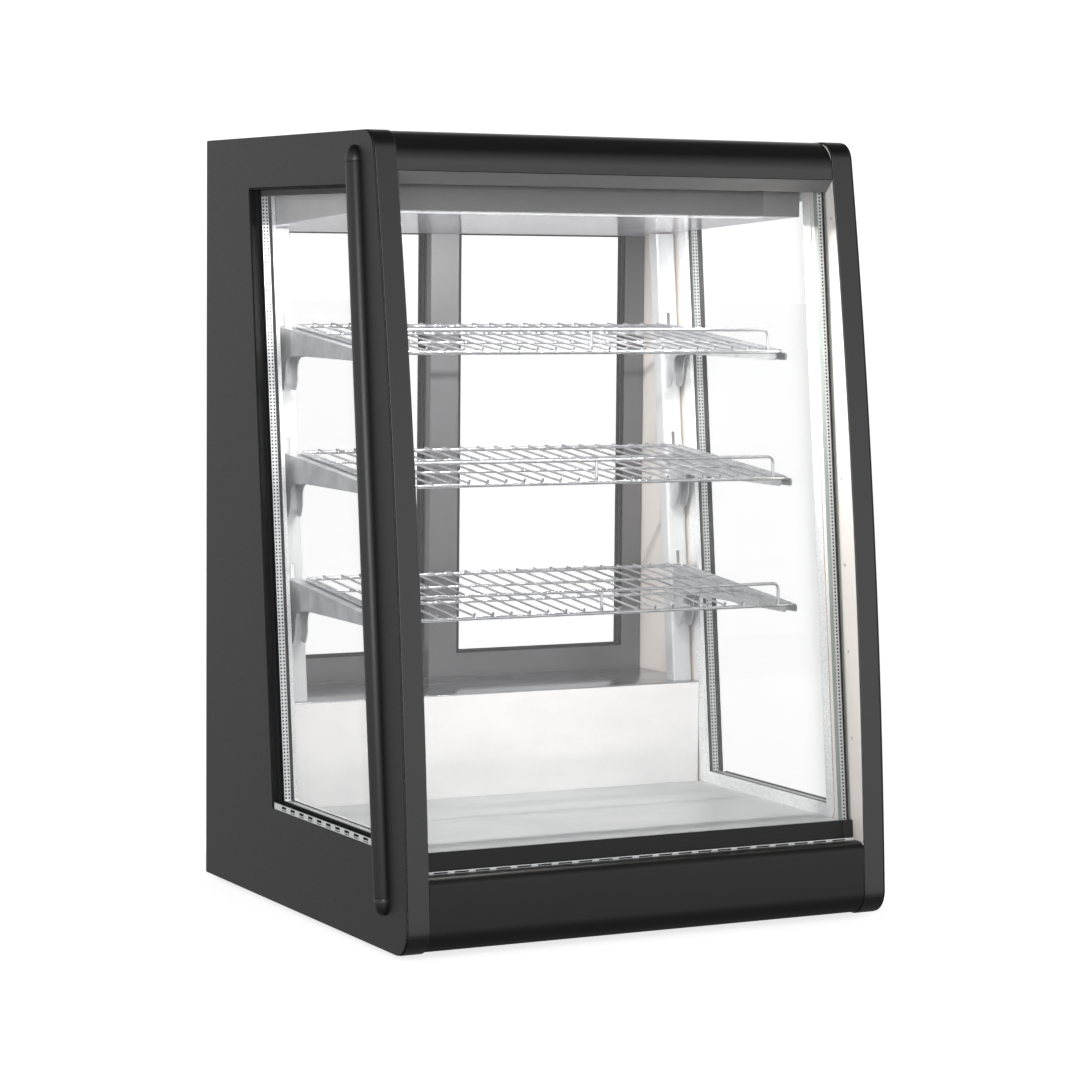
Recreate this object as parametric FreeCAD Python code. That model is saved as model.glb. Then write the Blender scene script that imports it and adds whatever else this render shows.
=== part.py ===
# Countertop refrigerated bakery display case, in millimetres.
# X runs to the right as a customer sees the case, Y to the rear, Z up.
# The origin is on the resting surface, under the middle of the case.
import FreeCAD, Part
import math
import os

V = FreeCAD.Vector

# overall sizes
BODY_W = 600.0            # over the two side covers
REAR_Y = 284.6            # rear edge of the end frames
FOOT_H = 6.0              # the end frames hang this far above the resting surface
TOP_Z = 881.0             # top of the end frames
END_T = 27.5              # thickness of one end frame with its cover
INNER_X = BODY_W / 2 - END_T
LINER_X = INNER_X - 2.0   # half width of the pieces that stand between the inner faces

# the raked direction shared by glass, windows, trims and uprights
RAKE_DEG = 6.1
MID_Z = 436.0             # height at which every raked piece states its place
SLOPE = math.tan(math.radians(RAKE_DEG))

# bowed front edge of the end frames: three points (y, z) and two corner radii
BOW_TOP = (-195.0, 826.0)
BOW_MID = (-250.4, 441.0)
BOW_LOW = (-283.5, 56.0)
TOP_CORNER_R = 24.0
LOW_CORNER_R = 27.0
BAND_T = 2.5              # edge band round each end frame
COVER_T = 1.8             # side cover sheet
SEAM = 0.6                # shadow gap between cover and band

# side windows
WINDOW_Z = (114.0, 823.0)
WINDOW_REAR = 114.1
WINDOW_FRONT = -178.0
WINDOW_R = 5.0
PANE_T = 4.0
PANE_GAP = 8.0
REVEAL = 8.0              # depth from the cover to the outer pane
GASKET_T = 2.0
SPACER_IN = 3.0
SPACER_W = 6.0
FIT = 0.3                 # play round panes and inserts
GAP = 0.2                 # clearance between neighbouring sheets
FRAME_LAP = 9.0           # how far the bright inner frame laps the pane
FLANGE = 7.0
SLOT_PITCH = 25.0

# half-round trim bars
TRIM_MID = -187.0
TRIM_R = 11.0
TRIM_Z = (60.5, 849.0)
CAP_L = 18.5

# front glazing, rail, vent and lower fascia
GLASS_MID = -218.7
GLASS_Z = (102.0, 843.0)
GLASS_X = 271.8
UNIT_T = 2 * PANE_T + PANE_GAP
RAIL_Z = (92.0, 113.0)
RAIL_X = 260.0
RAIL_LIP = 2.5
FASCIA_TOP = 91.0
FASCIA_LOW = 7.5
FASCIA_R = (11.0, 26.0)
FASCIA_CY = (-271.2, -257.6)
FASCIA_Y = (-264.0, -225.0)
WALL = 3.0

# canopy, roof and ceiling
ROOF_Z = 880.5
CANOPY_R = 35.0
CANOPY_CY = -155.5
CANOPY_FOOT = (-191.3, 837.5)
CANOPY_REAR = -100.0
LIP_END = (-178.6, 823.4)
CEIL_FRONT = (-123.0, 796.0)
CEIL_FALL = 0.0587
CEIL_REAR = 238.0
SHEET = 1.5
LAMP_X = 235.0
LAMP_Y = (-112.0, -84.0)
LENS_T = 4.0
DRIVER_X = 222.0
DRIVER_T = 1.0

# base and rear
DECK_Z = 109.0
DECK_FRONT = -235.1
DECK_FOLD = 9.0
DECK_T = 2.0
RISER_Y = 92.0
LEDGE_Z = 232.0
TRACK_Y = (240.0, 282.0)
HEADER_Z = 778.0
GROOVE_TOP = 806.0
DOOR_T = 14.0
INNER_DOOR_Y = 244.0
OUTER_DOOR_Y = 262.0
DOOR_PLAY = 0.6
DOOR_Z = (227.0, 803.0)
DOOR_EDGE = 271.5
MEETING = (-24.0, 14.0)   # left edge of the inner door, right edge of the outer door
STILE = 28.0
MEETING_STILE = 38.0
DOOR_RAILS = (262.0, 776.0)
DOOR_PANE_T = 5.0
PULL_W = 14.0             # finger recess in a jamb stile
PULL_DEPTH = 8.0
PULL_Z = (470.0, 560.0)
PAN_Z = 8.0
PANEL_Z = (12.0, 213.8)

# uprights, brackets and shelves
UPRIGHT_MID = 129.0
UPRIGHT_W = 25.0
UPRIGHT_D = 18.0
UPRIGHT_X = 256.5
SHELF_PITCH = 145.4
SHELF_FRONT = (-139.5, 495.7)   # front wire of the middle shelf
SHELF_DEPTH = 255.0
SHELF_FALL = 0.0945
SHELF_X = 250.5
WIRE_D = 4.5
THIN_D = 3.0
CROSS_WIRES = 22
GUARD_H = 25.0
GUARD_X = 231.0
BRACKET_W = 16.0
BRACKET_T = 1.5
HOOK_H = 75.0
HOOK_SPAN = (4.0, 28.0)         # top and bottom of the hook, below the bracket's top edge
HOOK_REACH = 5.0
LEVELS = (("top", 1), ("middle", 0), ("lower", -1))

# base pan and service panel
PAN_T = 2.0
PAN_RIM = 9.0
PAN_SLOT = (15.0, 30.0, 10)     # width, pitch and number of the air slots
PAN_SLOT_Y = (-190.0, -160.0)
LOUVRE_X = (-62.0, 122.0)
LOUVRE_Z = 40.0                 # lowest louvre slot
LOUVRE_H = 6.0
LOUVRE_PITCH = 15.0
LOUVRES = 9

# compressor: centre (x, y), can and foot plate
COMPRESSOR = (-165.0, 190.0)
CAN_R = 58.0
CAN_Z = (42.0, 138.0)
CAN_TAPER = (44.0, 14.0, 40.0, 16.0)    # radius and height of the bottom, then of the dome
CAN_PLATE = (62.0, 45.0, 4.0)
CAN_MOUNT = (50.0, 34.0, 9.0)
PORT_D = 10.0
PORT_REACH = 78.0

# heat exchangers: x, y and z spans, fin pitch and tube rows
CONDENSER = ((-60.0, 120.0), (240.0, 268.0), (20.0, 186.0), 12.0, 6)
EVAPORATOR = ((-150.0, 150.0), (-130.0, -30.0), (18.0, 94.0), 15.0, 3)
FIN_T = 1.0
TUBE_D = 9.0
TUBE_OUT = 8.0
HEADER_T = 3.0

# fans: centre (x, z), blade tip radius, front face, blade depth, shroud plate and motor length
COND_FAN = ((30.0, 102.0), 62.0, 214.0, 16.0, (216.0, 232.0), 24.0)
EVAP_FAN = ((0.0, 58.0), 35.0, 4.0, 14.0, (6.0, 20.0), 16.0)
SHROUD_LAP = 14.0
TIP_PLAY = 4.0
STRUT_D = 5.0
STRUT_BACK = 8.0
BLADES = 5
BLADE_T = 2.0
BLADE_TWIST = 24.0

# controls on the service panel: centres (x, z)
CONTROL = (205.0, 188.0)
CONTROL_BODY = (37.0, 16.0, 60.0)       # half width, half height, depth
CONTROL_BEZEL = (41.0, 20.0)
BEZEL_T = 2.0
DISPLAY = (-34.0, 10.0, 12.0)           # left, right and half height of the display recess
BUTTON_X = (224.0, 235.0)
BUTTON_R = 4.0
BUTTON_L = 7.3
BUTTON_Y = 277.1
BORE_L = 12.0
SWITCH = (205.0, 133.0)
SWITCH_BODY = (10.0, 15.0, 24.0)
SWITCH_RIM = (12.0, 17.0, 1.2)
POCKET = (6.8, 12.6, 12.0)
ROCKER_W = 12.0
ROCKER_AXIS_Y = 277.5
ROCKER_PIN = (3.0, 0.6)                 # diameter, and how far it stands out at each side
ROCKER_TILT = 7.0
INLET = (-205.0, 58.0)
INLET_BODY = (15.0, 11.0, 24.0)
INLET_RIM = (25.0, 14.0)
INLET_SOCKET = (12.0, 8.0, 18.0)
PIN_PLACES = ((-7.0, -2.0), (0.0, 3.0), (7.0, -2.0))
PIN_SIZE = (1.0, 2.5, 15.0)
PANEL_FIT = 0.2

# feet and fixings
FOOT_X = 225.0
FOOT_Y = (-185.0, 225.0)
FOOT_R = (19.0, 16.0)
SCREW_X = (-262.0, -90.0, 150.0, 262.0)
SCREW_Z = (20.0, 206.0)
SCREW_R = 3.2
SCREW_H = 1.6
RIVET_Z = 206.0
RIVET_PITCH = 98.0
RIVETS = 7
RIVET_BACK = 9.0                        # in front of the outer pane
RIVET_R = 1.8
RIVET_H = 0.8


def box(x0, x1, y0, y1, z0, z1):
    """Upright block between two corners."""
    return Part.makeBox(x1 - x0, y1 - y0, z1 - z0, V(x0, y0, z0))


def rod(p, q, d):
    """Round bar of diameter d from p to q."""
    axis = q.sub(p)
    return Part.makeCylinder(d / 2, axis.Length, p, axis)


def fuse(shapes):
    """One solid from overlapping or touching solids."""
    return shapes[0].multiFuse(shapes[1:]).removeSplitter()


def group(shapes):
    """Separate solids that share one node."""
    return Part.makeCompound(shapes)


def mirrored(shape):
    """The same piece for the other side of the case."""
    return shape.mirror(V(0, 0, 0), V(1, 0, 0))


def pair(shape):
    """A left piece and its mirrored twin."""
    return group([shape, mirrored(shape)])


def raked(y_mid, z):
    """Y at height z of a raked line that passes y_mid at the middle height."""
    return y_mid + (z - MID_Z) * SLOPE


def polygon(points):
    """Closed wire in the YZ plane."""
    ring = [V(0, y, z) for y, z in points]
    return Part.makePolygon(ring + [ring[0]])


def extrude(wire, x0, x1):
    """Prism along X on a YZ outline."""
    face = Part.Face(wire)
    face.translate(V(x0, 0, 0))
    return face.extrude(V(x1 - x0, 0, 0))


def raked_prism(y_front, y_rear, z0, z1, x0, x1):
    """Slab whose front and rear faces lean with the rake."""
    points = [(raked(y_front, z0), z0), (raked(y_rear, z0), z0)]
    points += [(raked(y_rear, z1), z1), (raked(y_front, z1), z1)]
    return extrude(polygon(points), x0, x1)


def arc(centre, r, deg0, deg1):
    """Arc edge in the YZ plane, angles from +Y towards +Z."""
    points = []
    for deg in (deg0, (deg0 + deg1) / 2, deg1):
        a = math.radians(deg)
        points.append(V(0, centre[0] + r * math.cos(a), centre[1] + r * math.sin(a)))
    return Part.Arc(points[0], points[1], points[2]).toShape()


def joined(arcs):
    """Closed wire that runs through the arcs in order, with straight lines between them."""
    edges = []
    for i, edge in enumerate(arcs):
        following = arcs[(i + 1) % len(arcs)]
        start = edge.valueAt(edge.LastParameter)
        end = following.valueAt(following.FirstParameter)
        edges.append(edge)
        if start.sub(end).Length > 1e-6:
            edges.append(Part.makeLine(start, end))
    return Part.Wire(edges)


def bow_circle():
    """Centre and radius of the circle through the three bow points."""
    (y1, z1), (y2, z2), (y3, z3) = BOW_TOP, BOW_MID, BOW_LOW
    d = 2 * (y1 * (z2 - z3) + y2 * (z3 - z1) + y3 * (z1 - z2))
    s1, s2, s3 = y1 * y1 + z1 * z1, y2 * y2 + z2 * z2, y3 * y3 + z3 * z3
    yc = (s1 * (z2 - z3) + s2 * (z3 - z1) + s3 * (z1 - z2)) / d
    zc = (s1 * (y3 - y2) + s2 * (y1 - y3) + s3 * (y2 - y1)) / d
    return yc, zc, math.hypot(y1 - yc, z1 - zc)


def end_outline(inset):
    """Side view of an end frame: square rear, bowed front with rounded corners."""
    yc, zc, bow_r = bow_circle()
    bow_r -= inset
    rear, low, top = REAR_Y - inset, FOOT_H + inset, TOP_Z - inset
    r_top, r_low = TOP_CORNER_R - inset, LOW_CORNER_R - inset
    centres = []
    for r, z in ((r_top, top - r_top), (r_low, low + r_low)):
        centres.append((yc - math.sqrt((bow_r - r) ** 2 - (z - zc) ** 2), z))
    angles = [math.degrees(math.atan2(z - zc, y - yc)) % 360 for y, z in centres]
    corners = [arc(centres[0], r_top, 90, angles[0]), arc((yc, zc), bow_r, angles[0], angles[1])]
    corners.append(arc(centres[1], r_low, angles[1], 270))
    start = corners[-1].valueAt(corners[-1].LastParameter)
    end = corners[0].valueAt(corners[0].FirstParameter)
    square = Part.makePolygon([start, V(0, rear, low), V(0, rear, top), end])
    return Part.Wire(corners + square.Edges)


def window_outline(inset):
    """Leaning window opening with small corner radii, inset towards its middle."""
    z0, z1 = WINDOW_Z[0] + inset, WINDOW_Z[1] - inset
    r = max(WINDOW_R - inset, 0.8)
    rear, front = WINDOW_REAR - inset, WINDOW_FRONT + inset
    lean = math.radians(90 - RAKE_DEG)
    obtuse = r / math.tan((math.pi - lean) / 2)
    acute = r / math.tan(lean / 2)
    edge = 180 - RAKE_DEG
    arcs = [arc((raked(rear, z0) - obtuse, z0 + r), r, 270, 360 - RAKE_DEG)]
    arcs.append(arc((raked(rear, z1) - acute, z1 - r), r, -RAKE_DEG, 90))
    arcs.append(arc((raked(front, z1) + obtuse, z1 - r), r, 90, edge))
    arcs.append(arc((raked(front, z0) + acute, z0 + r), r, edge, 270))
    return joined(arcs)


def ring(outer, inner, x0, x1):
    """Prism between two outlines."""
    return extrude(outer, x0, x1).cut(extrude(inner, x0, x1))


# ---------------------------------------------------------------- end frames

def side_cover():
    """Painted outer sheet of the left end frame, with the window cut out."""
    x0 = -BODY_W / 2
    return ring(end_outline(FIT), window_outline(0), x0, x0 + COVER_T)


def end_frame():
    """Core of the left end frame, from the cover to its pale inner face."""
    x0 = -BODY_W / 2 + COVER_T
    return ring(end_outline(BAND_T), window_outline(0), x0, -INNER_X)


def edge_band():
    """Band wrapped round the rim of the left end frame."""
    x0 = -BODY_W / 2 + COVER_T + SEAM
    return ring(end_outline(0), end_outline(BAND_T), x0, -INNER_X)


def lean_over(shape, y_mid):
    """Tilts a piece built upright round the middle height, then puts it at y_mid."""
    shape.rotate(V(0, 0, MID_Z), V(1, 0, 0), -RAKE_DEG)
    shape.translate(V(0, y_mid, 0))
    return shape


def outer_half():
    """Space outside the left cover, which keeps the outer half of a round bar."""
    return box(-BODY_W / 2 - 3 * TRIM_R, -BODY_W / 2, -TRIM_R, TRIM_R, 0, TOP_Z)


def trim_bar():
    """Half-round bar on the left cover."""
    bar = rod(V(-BODY_W / 2, 0, TRIM_Z[0]), V(-BODY_W / 2, 0, TRIM_Z[1]), 2 * TRIM_R)
    return lean_over(bar.common(outer_half()), TRIM_MID)


def trim_caps():
    """Bullet-shaped ends of the left trim bar, one above and one below."""
    caps = []
    for z, way in ((TRIM_Z[0], -1), (TRIM_Z[1], 1)):
        ball = Part.makeSphere(TRIM_R)
        stretch = FreeCAD.Matrix()
        stretch.scale(1, 1, CAP_L / TRIM_R)
        ball = ball.transformGeometry(stretch)
        ball.translate(V(-BODY_W / 2, 0, z))
        z_low = min(z, z + way * CAP_L)
        half = outer_half().common(box(-BODY_W, 0, -BODY_W, BODY_W, z_low, z_low + CAP_L))
        caps.append(lean_over(ball.common(half), TRIM_MID))
    return caps


# ---------------------------------------------------------------- side windows

def window_gasket():
    """Black lining of the left window reveal, outside the panes."""
    x0 = -BODY_W / 2 + 0.2
    return ring(window_outline(0), window_outline(GASKET_T), x0, -BODY_W / 2 + REVEAL)


def window_panes():
    """Outer and inner pane of the left window."""
    x0 = -BODY_W / 2 + REVEAL
    outer = extrude(window_outline(FIT), x0, x0 + PANE_T)
    x1 = x0 + PANE_T + PANE_GAP
    return group([outer, extrude(window_outline(FIT), x1, x1 + PANE_T)])


def window_spacer():
    """Perforated bar that holds the two left panes apart."""
    x0 = -BODY_W / 2 + REVEAL + PANE_T
    return ring(window_outline(SPACER_IN), window_outline(SPACER_IN + SPACER_W), x0, x0 + PANE_GAP)


def window_inner_frame():
    """Bright frame inside the left window: a ring on the pane and a flange on the inner face."""
    x0 = -BODY_W / 2 + REVEAL + UNIT_T
    seat = ring(window_outline(FIT), window_outline(FRAME_LAP), x0, -INNER_X)
    flange = ring(window_outline(-FLANGE), window_outline(FRAME_LAP), -INNER_X, -INNER_X + SHEET)
    return fuse([seat, flange])


def side_vent_strip():
    """Slotted strip on the left window sill, outside the glass."""
    z0 = WINDOW_Z[0] + GASKET_T
    rear, front = raked(WINDOW_REAR, z0) - 8, raked(WINDOW_FRONT, z0) + 8
    x0 = -BODY_W / 2 + 0.4
    strip = box(x0, x0 + 7.2, front, rear, z0, z0 + 1.2)
    slots = []
    for i in range(int((rear - front - 14) / SLOT_PITCH)):
        y = rear - 10 - i * SLOT_PITCH
        slots.append(box(x0 + 1.6, x0 + 5.6, y - 16, y, z0 - 1, z0 + 3))
    return strip.cut(group(slots))


# ---------------------------------------------------------------- front

def front_glass_panes():
    """Outer and inner pane of the front unit."""
    z0, z1 = GLASS_Z
    inner = GLASS_MID + PANE_T + PANE_GAP
    outer_pane = raked_prism(GLASS_MID, GLASS_MID + PANE_T, z0, z1, -GLASS_X, GLASS_X)
    return group([outer_pane, raked_prism(inner, inner + PANE_T, z0, z1, -GLASS_X, GLASS_X)])


def front_spacer():
    """Spacer frame between the two front panes."""
    y0, y1 = GLASS_MID + PANE_T, GLASS_MID + PANE_T + PANE_GAP
    z0, z1, x = GLASS_Z[0] + SPACER_IN, GLASS_Z[1] - SPACER_IN, GLASS_X - SPACER_IN
    outer = raked_prism(y0, y1, z0, z1, -x, x)
    hole = raked_prism(y0 - 1, y1 + 1, z0 + SPACER_W, z1 - SPACER_W, -x + SPACER_W, x - SPACER_W)
    return outer.cut(hole)


def rail_prism(x0, x1, proud):
    """U-section under the front glass, with a tall outer lip and a lower inner lip."""
    z0, z1 = RAIL_Z
    outer, inner = GLASS_MID - FIT, GLASS_MID + UNIT_T + FIT
    block = raked_prism(outer - RAIL_LIP - proud, inner + 2, z0, z1, x0, x1)
    seat = raked_prism(outer, inner, GLASS_Z[0] - FIT, z1 + 1, x0 - 1, x1 + 1)
    notch = raked_prism(inner - 1, inner + 3, z1 - 4, z1 + 1, x0 - 1, x1 + 1)
    return block.cut(seat).cut(notch)


def rail_end_blocks():
    """Short blocks that close the rail against both end frames."""
    return pair(rail_prism(-INNER_X, -RAIL_X, SEAM))


def front_vent_strip():
    """Slotted strip between the rail and the lower fascia."""
    rear = raked(GLASS_MID - FIT - RAIL_LIP, RAIL_Z[0]) - 0.9
    strip = box(-LINER_X, LINER_X, FASCIA_Y[0], rear, FASCIA_TOP - 2, FASCIA_TOP - 0.6)
    slots = []
    count = int(2 * (LINER_X - 10) / SLOT_PITCH)
    for i in range(count):
        x = (i - (count - 1) / 2) * SLOT_PITCH
        slots.append(box(x - 9, x + 9, FASCIA_Y[0] + 1.2, rear - 1.2, 0, TOP_Z))
    return strip.cut(group(slots))


def lower_fascia():
    """Bullnose along the bottom front: an open C-section."""
    top = (FASCIA_CY[0], FASCIA_TOP - FASCIA_R[0])
    low = (FASCIA_CY[1], FASCIA_LOW + FASCIA_R[1])
    rear_top, rear_low = FASCIA_Y
    outer = [arc(top, FASCIA_R[0], 90, 180), arc(low, FASCIA_R[1], 180, 270)]
    inner = [arc(low, FASCIA_R[1] - WALL, 270, 180), arc(top, FASCIA_R[0] - WALL, 180, 90)]
    ends = Part.makePolygon([V(0, low[0], FASCIA_LOW), V(0, rear_low, FASCIA_LOW),
                             V(0, rear_low, FASCIA_LOW + WALL), V(0, low[0], FASCIA_LOW + WALL)])
    tops = Part.makePolygon([V(0, top[0], FASCIA_TOP - WALL), V(0, rear_top, FASCIA_TOP - WALL),
                             V(0, rear_top, FASCIA_TOP), V(0, top[0], FASCIA_TOP)])
    y_top, y_low = top[0] - FASCIA_R[0], low[0] - FASCIA_R[1]
    front_out = Part.makeLine(V(0, y_top, top[1]), V(0, y_low, low[1]))
    front_in = Part.makeLine(V(0, y_low + WALL, low[1]), V(0, y_top + WALL, top[1]))
    edges = [outer[0], front_out, outer[1]] + ends.Edges + [inner[0], front_in, inner[1]] + tops.Edges
    return extrude(Part.Wire(Part.__sortEdges__(edges)), -INNER_X, INNER_X)


# ---------------------------------------------------------------- top

def canopy():
    """Bullnose along the top front: quarter-round sheet with a short drop."""
    centre = (CANOPY_CY, ROOF_Z - CANOPY_R)
    y_out = CANOPY_CY - CANOPY_R
    foot_y, foot_z = CANOPY_FOOT
    lines = Part.makePolygon([V(0, y_out, centre[1]), V(0, foot_y, foot_z), V(0, foot_y + WALL, foot_z),
                              V(0, y_out + WALL, centre[1])])
    back = Part.makePolygon([V(0, CANOPY_CY, ROOF_Z - WALL), V(0, CANOPY_REAR, ROOF_Z - WALL),
                             V(0, CANOPY_REAR, ROOF_Z), V(0, CANOPY_CY, ROOF_Z)])
    arcs = [arc(centre, CANOPY_R, 90, 180), arc(centre, CANOPY_R - WALL, 180, 90)]
    edges = arcs + lines.Edges + back.Edges
    return extrude(Part.Wire(Part.__sortEdges__(edges)), -INNER_X, INNER_X)


def canopy_lip():
    """Chamfered strip from the foot of the canopy back to the glass."""
    y0, z0 = CANOPY_FOOT[0], CANOPY_FOOT[1] - 0.3
    y1, z1 = LIP_END
    points = [(y0, z0), (y1, z1), (y1 + 0.4, z1 + WALL + 0.6), (y0 + WALL, z0)]
    return extrude(polygon(points), -INNER_X, INNER_X)


def roof_panel():
    """Flat sheet over the case."""
    return box(-INNER_X, INNER_X, CANOPY_REAR + GAP, TRACK_Y[1] - WALL, ROOF_Z - SHEET, ROOF_Z)


def ceiling_z(y):
    """Height of the ceiling's underside, which falls towards the rear."""
    return CEIL_FRONT[1] - (y - CEIL_FRONT[0]) * CEIL_FALL


def ceiling_prism(y0, y1, lift, z_top, x):
    """Block on the sloping underside of the ceiling."""
    points = [(y0, ceiling_z(y0) + lift), (y1, ceiling_z(y1) + lift), (y1, z_top), (y0, z_top)]
    return extrude(polygon(points), -x, x)


def ceiling_box():
    """Folded light and air box under the roof, open above, with a window for the lamp."""
    y0, y1 = CEIL_FRONT[0], CEIL_REAR
    shell = ceiling_prism(y0, y1, 0, ROOF_Z - WALL, LINER_X)
    inside = ceiling_prism(y0 + SHEET, y1 - SHEET, SHEET, ROOF_Z, LINER_X - SHEET)
    lamp = box(-LAMP_X, LAMP_X, LAMP_Y[0], LAMP_Y[1], HEADER_Z, ROOF_Z)
    return shell.cut(inside).cut(lamp)


def light_lens():
    """Frosted strip that closes the lamp window."""
    strip = ceiling_prism(LAMP_Y[0] + FIT, LAMP_Y[1] - FIT, GAP, ROOF_Z, LAMP_X - FIT)
    return strip.common(box(-LAMP_X, LAMP_X, LAMP_Y[0], LAMP_Y[1], HEADER_Z, CEIL_FRONT[1] + LENS_T))


def driver_cover():
    """Cover plate over the lamp driver, on the right end of the ceiling box."""
    y1 = CEIL_FRONT[0]
    return box(DRIVER_X, LINER_X, y1 - DRIVER_T, y1, CEIL_FRONT[1], ROOF_Z - WALL)


# ---------------------------------------------------------------- display floor and rear

def deck_plate():
    """Display floor, a sheet with folded edges."""
    rear = RISER_Y - GAP
    plate = box(-LINER_X, LINER_X, DECK_FRONT, rear, DECK_Z - DECK_T, DECK_Z)
    folds = []
    for y in (DECK_FRONT, rear - SHEET):
        folds.append(box(-LINER_X, LINER_X, y, y + SHEET, DECK_Z - DECK_FOLD, DECK_Z - DECK_T / 2))
    return fuse([plate] + folds)


def riser_panel():
    """White front of the machinery riser."""
    return box(-LINER_X, LINER_X, RISER_Y, RISER_Y + DECK_T, DECK_Z - DECK_FOLD, LEDGE_Z - SHEET)


def riser_ledge():
    """Stainless top of the machinery riser."""
    return box(-LINER_X, LINER_X, RISER_Y, TRACK_Y[0] - GAP, LEDGE_Z - SHEET, LEDGE_Z)


def door_grooves(z0, z1):
    """The two slots that the doors run in."""
    return group([box(-BODY_W, BODY_W, y - DOOR_PLAY, y + DOOR_T + DOOR_PLAY, z0, z1)
                  for y in (INNER_DOOR_Y, OUTER_DOOR_Y)])


def door_header():
    """Head channel of the doors with a rear valance up to the roof."""
    y0, y1 = TRACK_Y
    channel = box(-INNER_X, INNER_X, y0, y1, HEADER_Z, GROOVE_TOP + WALL)
    valance = box(-INNER_X, INNER_X, y1 - WALL, y1, GROOVE_TOP, ROOF_Z)
    return fuse([channel.cut(door_grooves(HEADER_Z - 1, GROOVE_TOP)), valance])


def door_sill():
    """Sill with two shallow grooves."""
    y0, y1 = TRACK_Y
    sill = box(-LINER_X, LINER_X, y0, y1, PANEL_Z[1] + GAP, LEDGE_Z)
    return sill.cut(door_grooves(DOOR_Z[0] - 1, LEDGE_Z + 1))


def door_frame(x0, x1, y0, meeting_left):
    """Rectangular sliding frame with a finger recess in its jamb stile."""
    left = MEETING_STILE if meeting_left else STILE
    right = STILE if meeting_left else MEETING_STILE
    frame = box(x0, x1, y0, y0 + DOOR_T, DOOR_Z[0], DOOR_Z[1])
    hole = box(x0 + left, x1 - right, y0 - 1, y0 + DOOR_T + 1, DOOR_RAILS[0], DOOR_RAILS[1])
    pull_x = x1 - STILE / 2 if meeting_left else x0 + STILE / 2
    pull = box(pull_x - PULL_W / 2, pull_x + PULL_W / 2, y0 + DOOR_T - PULL_DEPTH, y0 + DOOR_T + 1, *PULL_Z)
    return frame.cut(hole).cut(pull)


def door_pane(x0, x1, y0, meeting_left):
    """Pane of a sliding door."""
    left = MEETING_STILE if meeting_left else STILE
    right = STILE if meeting_left else MEETING_STILE
    y = y0 + (DOOR_T - DOOR_PANE_T) / 2
    z0, z1 = DOOR_RAILS
    return box(x0 + left + FIT, x1 - right - FIT, y, y + DOOR_PANE_T, z0 + FIT, z1 - FIT)


LEFT_DOOR = (-DOOR_EDGE, MEETING[1], OUTER_DOOR_Y, False)
RIGHT_DOOR = (MEETING[0], DOOR_EDGE, INNER_DOOR_Y, True)


# ---------------------------------------------------------------- shelving

def upright(side):
    """Raked U-channel with a hook slot at each shelf and a small tab below it."""
    x, w, d = side * UPRIGHT_X, UPRIGHT_W, UPRIGHT_D
    channel = box(x - w / 2, x + w / 2, 0, d, 0, TOP_Z)
    channel = channel.cut(box(x - w / 2 + SHEET, x + w / 2 - SHEET, SHEET, d + 1, -1, TOP_Z + 1))
    tabs = []
    for _, level in LEVELS:
        z = shelf_root(level)[1]
        channel = channel.cut(box(x - 2.2, x + 2.2, -1, SHEET + 1, z - 40, z + 16))
        edge = x + side * w / 2
        tabs.append(box(min(edge, edge + side * 1.5), max(edge, edge + side * 1.5), 2, 12, z - 100, z - 83))
    channel = lean_over(fuse([channel] + tabs), UPRIGHT_MID)
    return channel.common(box(-BODY_W, BODY_W, 0, REAR_Y, LEDGE_Z, HEADER_Z - 0.5))


def shelf_front(level):
    """Front wire centre (y, z) of a shelf; shelves step along the raked uprights."""
    return SHELF_FRONT[0] + level * SHELF_PITCH * SLOPE, SHELF_FRONT[1] + level * SHELF_PITCH


def shelf_z(level, y):
    """Height of a shelf's main wires at y: the shelf falls towards the front."""
    y0, z0 = shelf_front(level)
    return z0 + (y - y0) * SHELF_FALL


def shelf_root(level):
    """Where a bracket's top edge meets the upright (y, z)."""
    z = shelf_front(level)[1] + (SHELF_DEPTH + 24) * SHELF_FALL - WIRE_D / 2 - FIT
    return raked(UPRIGHT_MID, z) - 0.3, z


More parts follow.
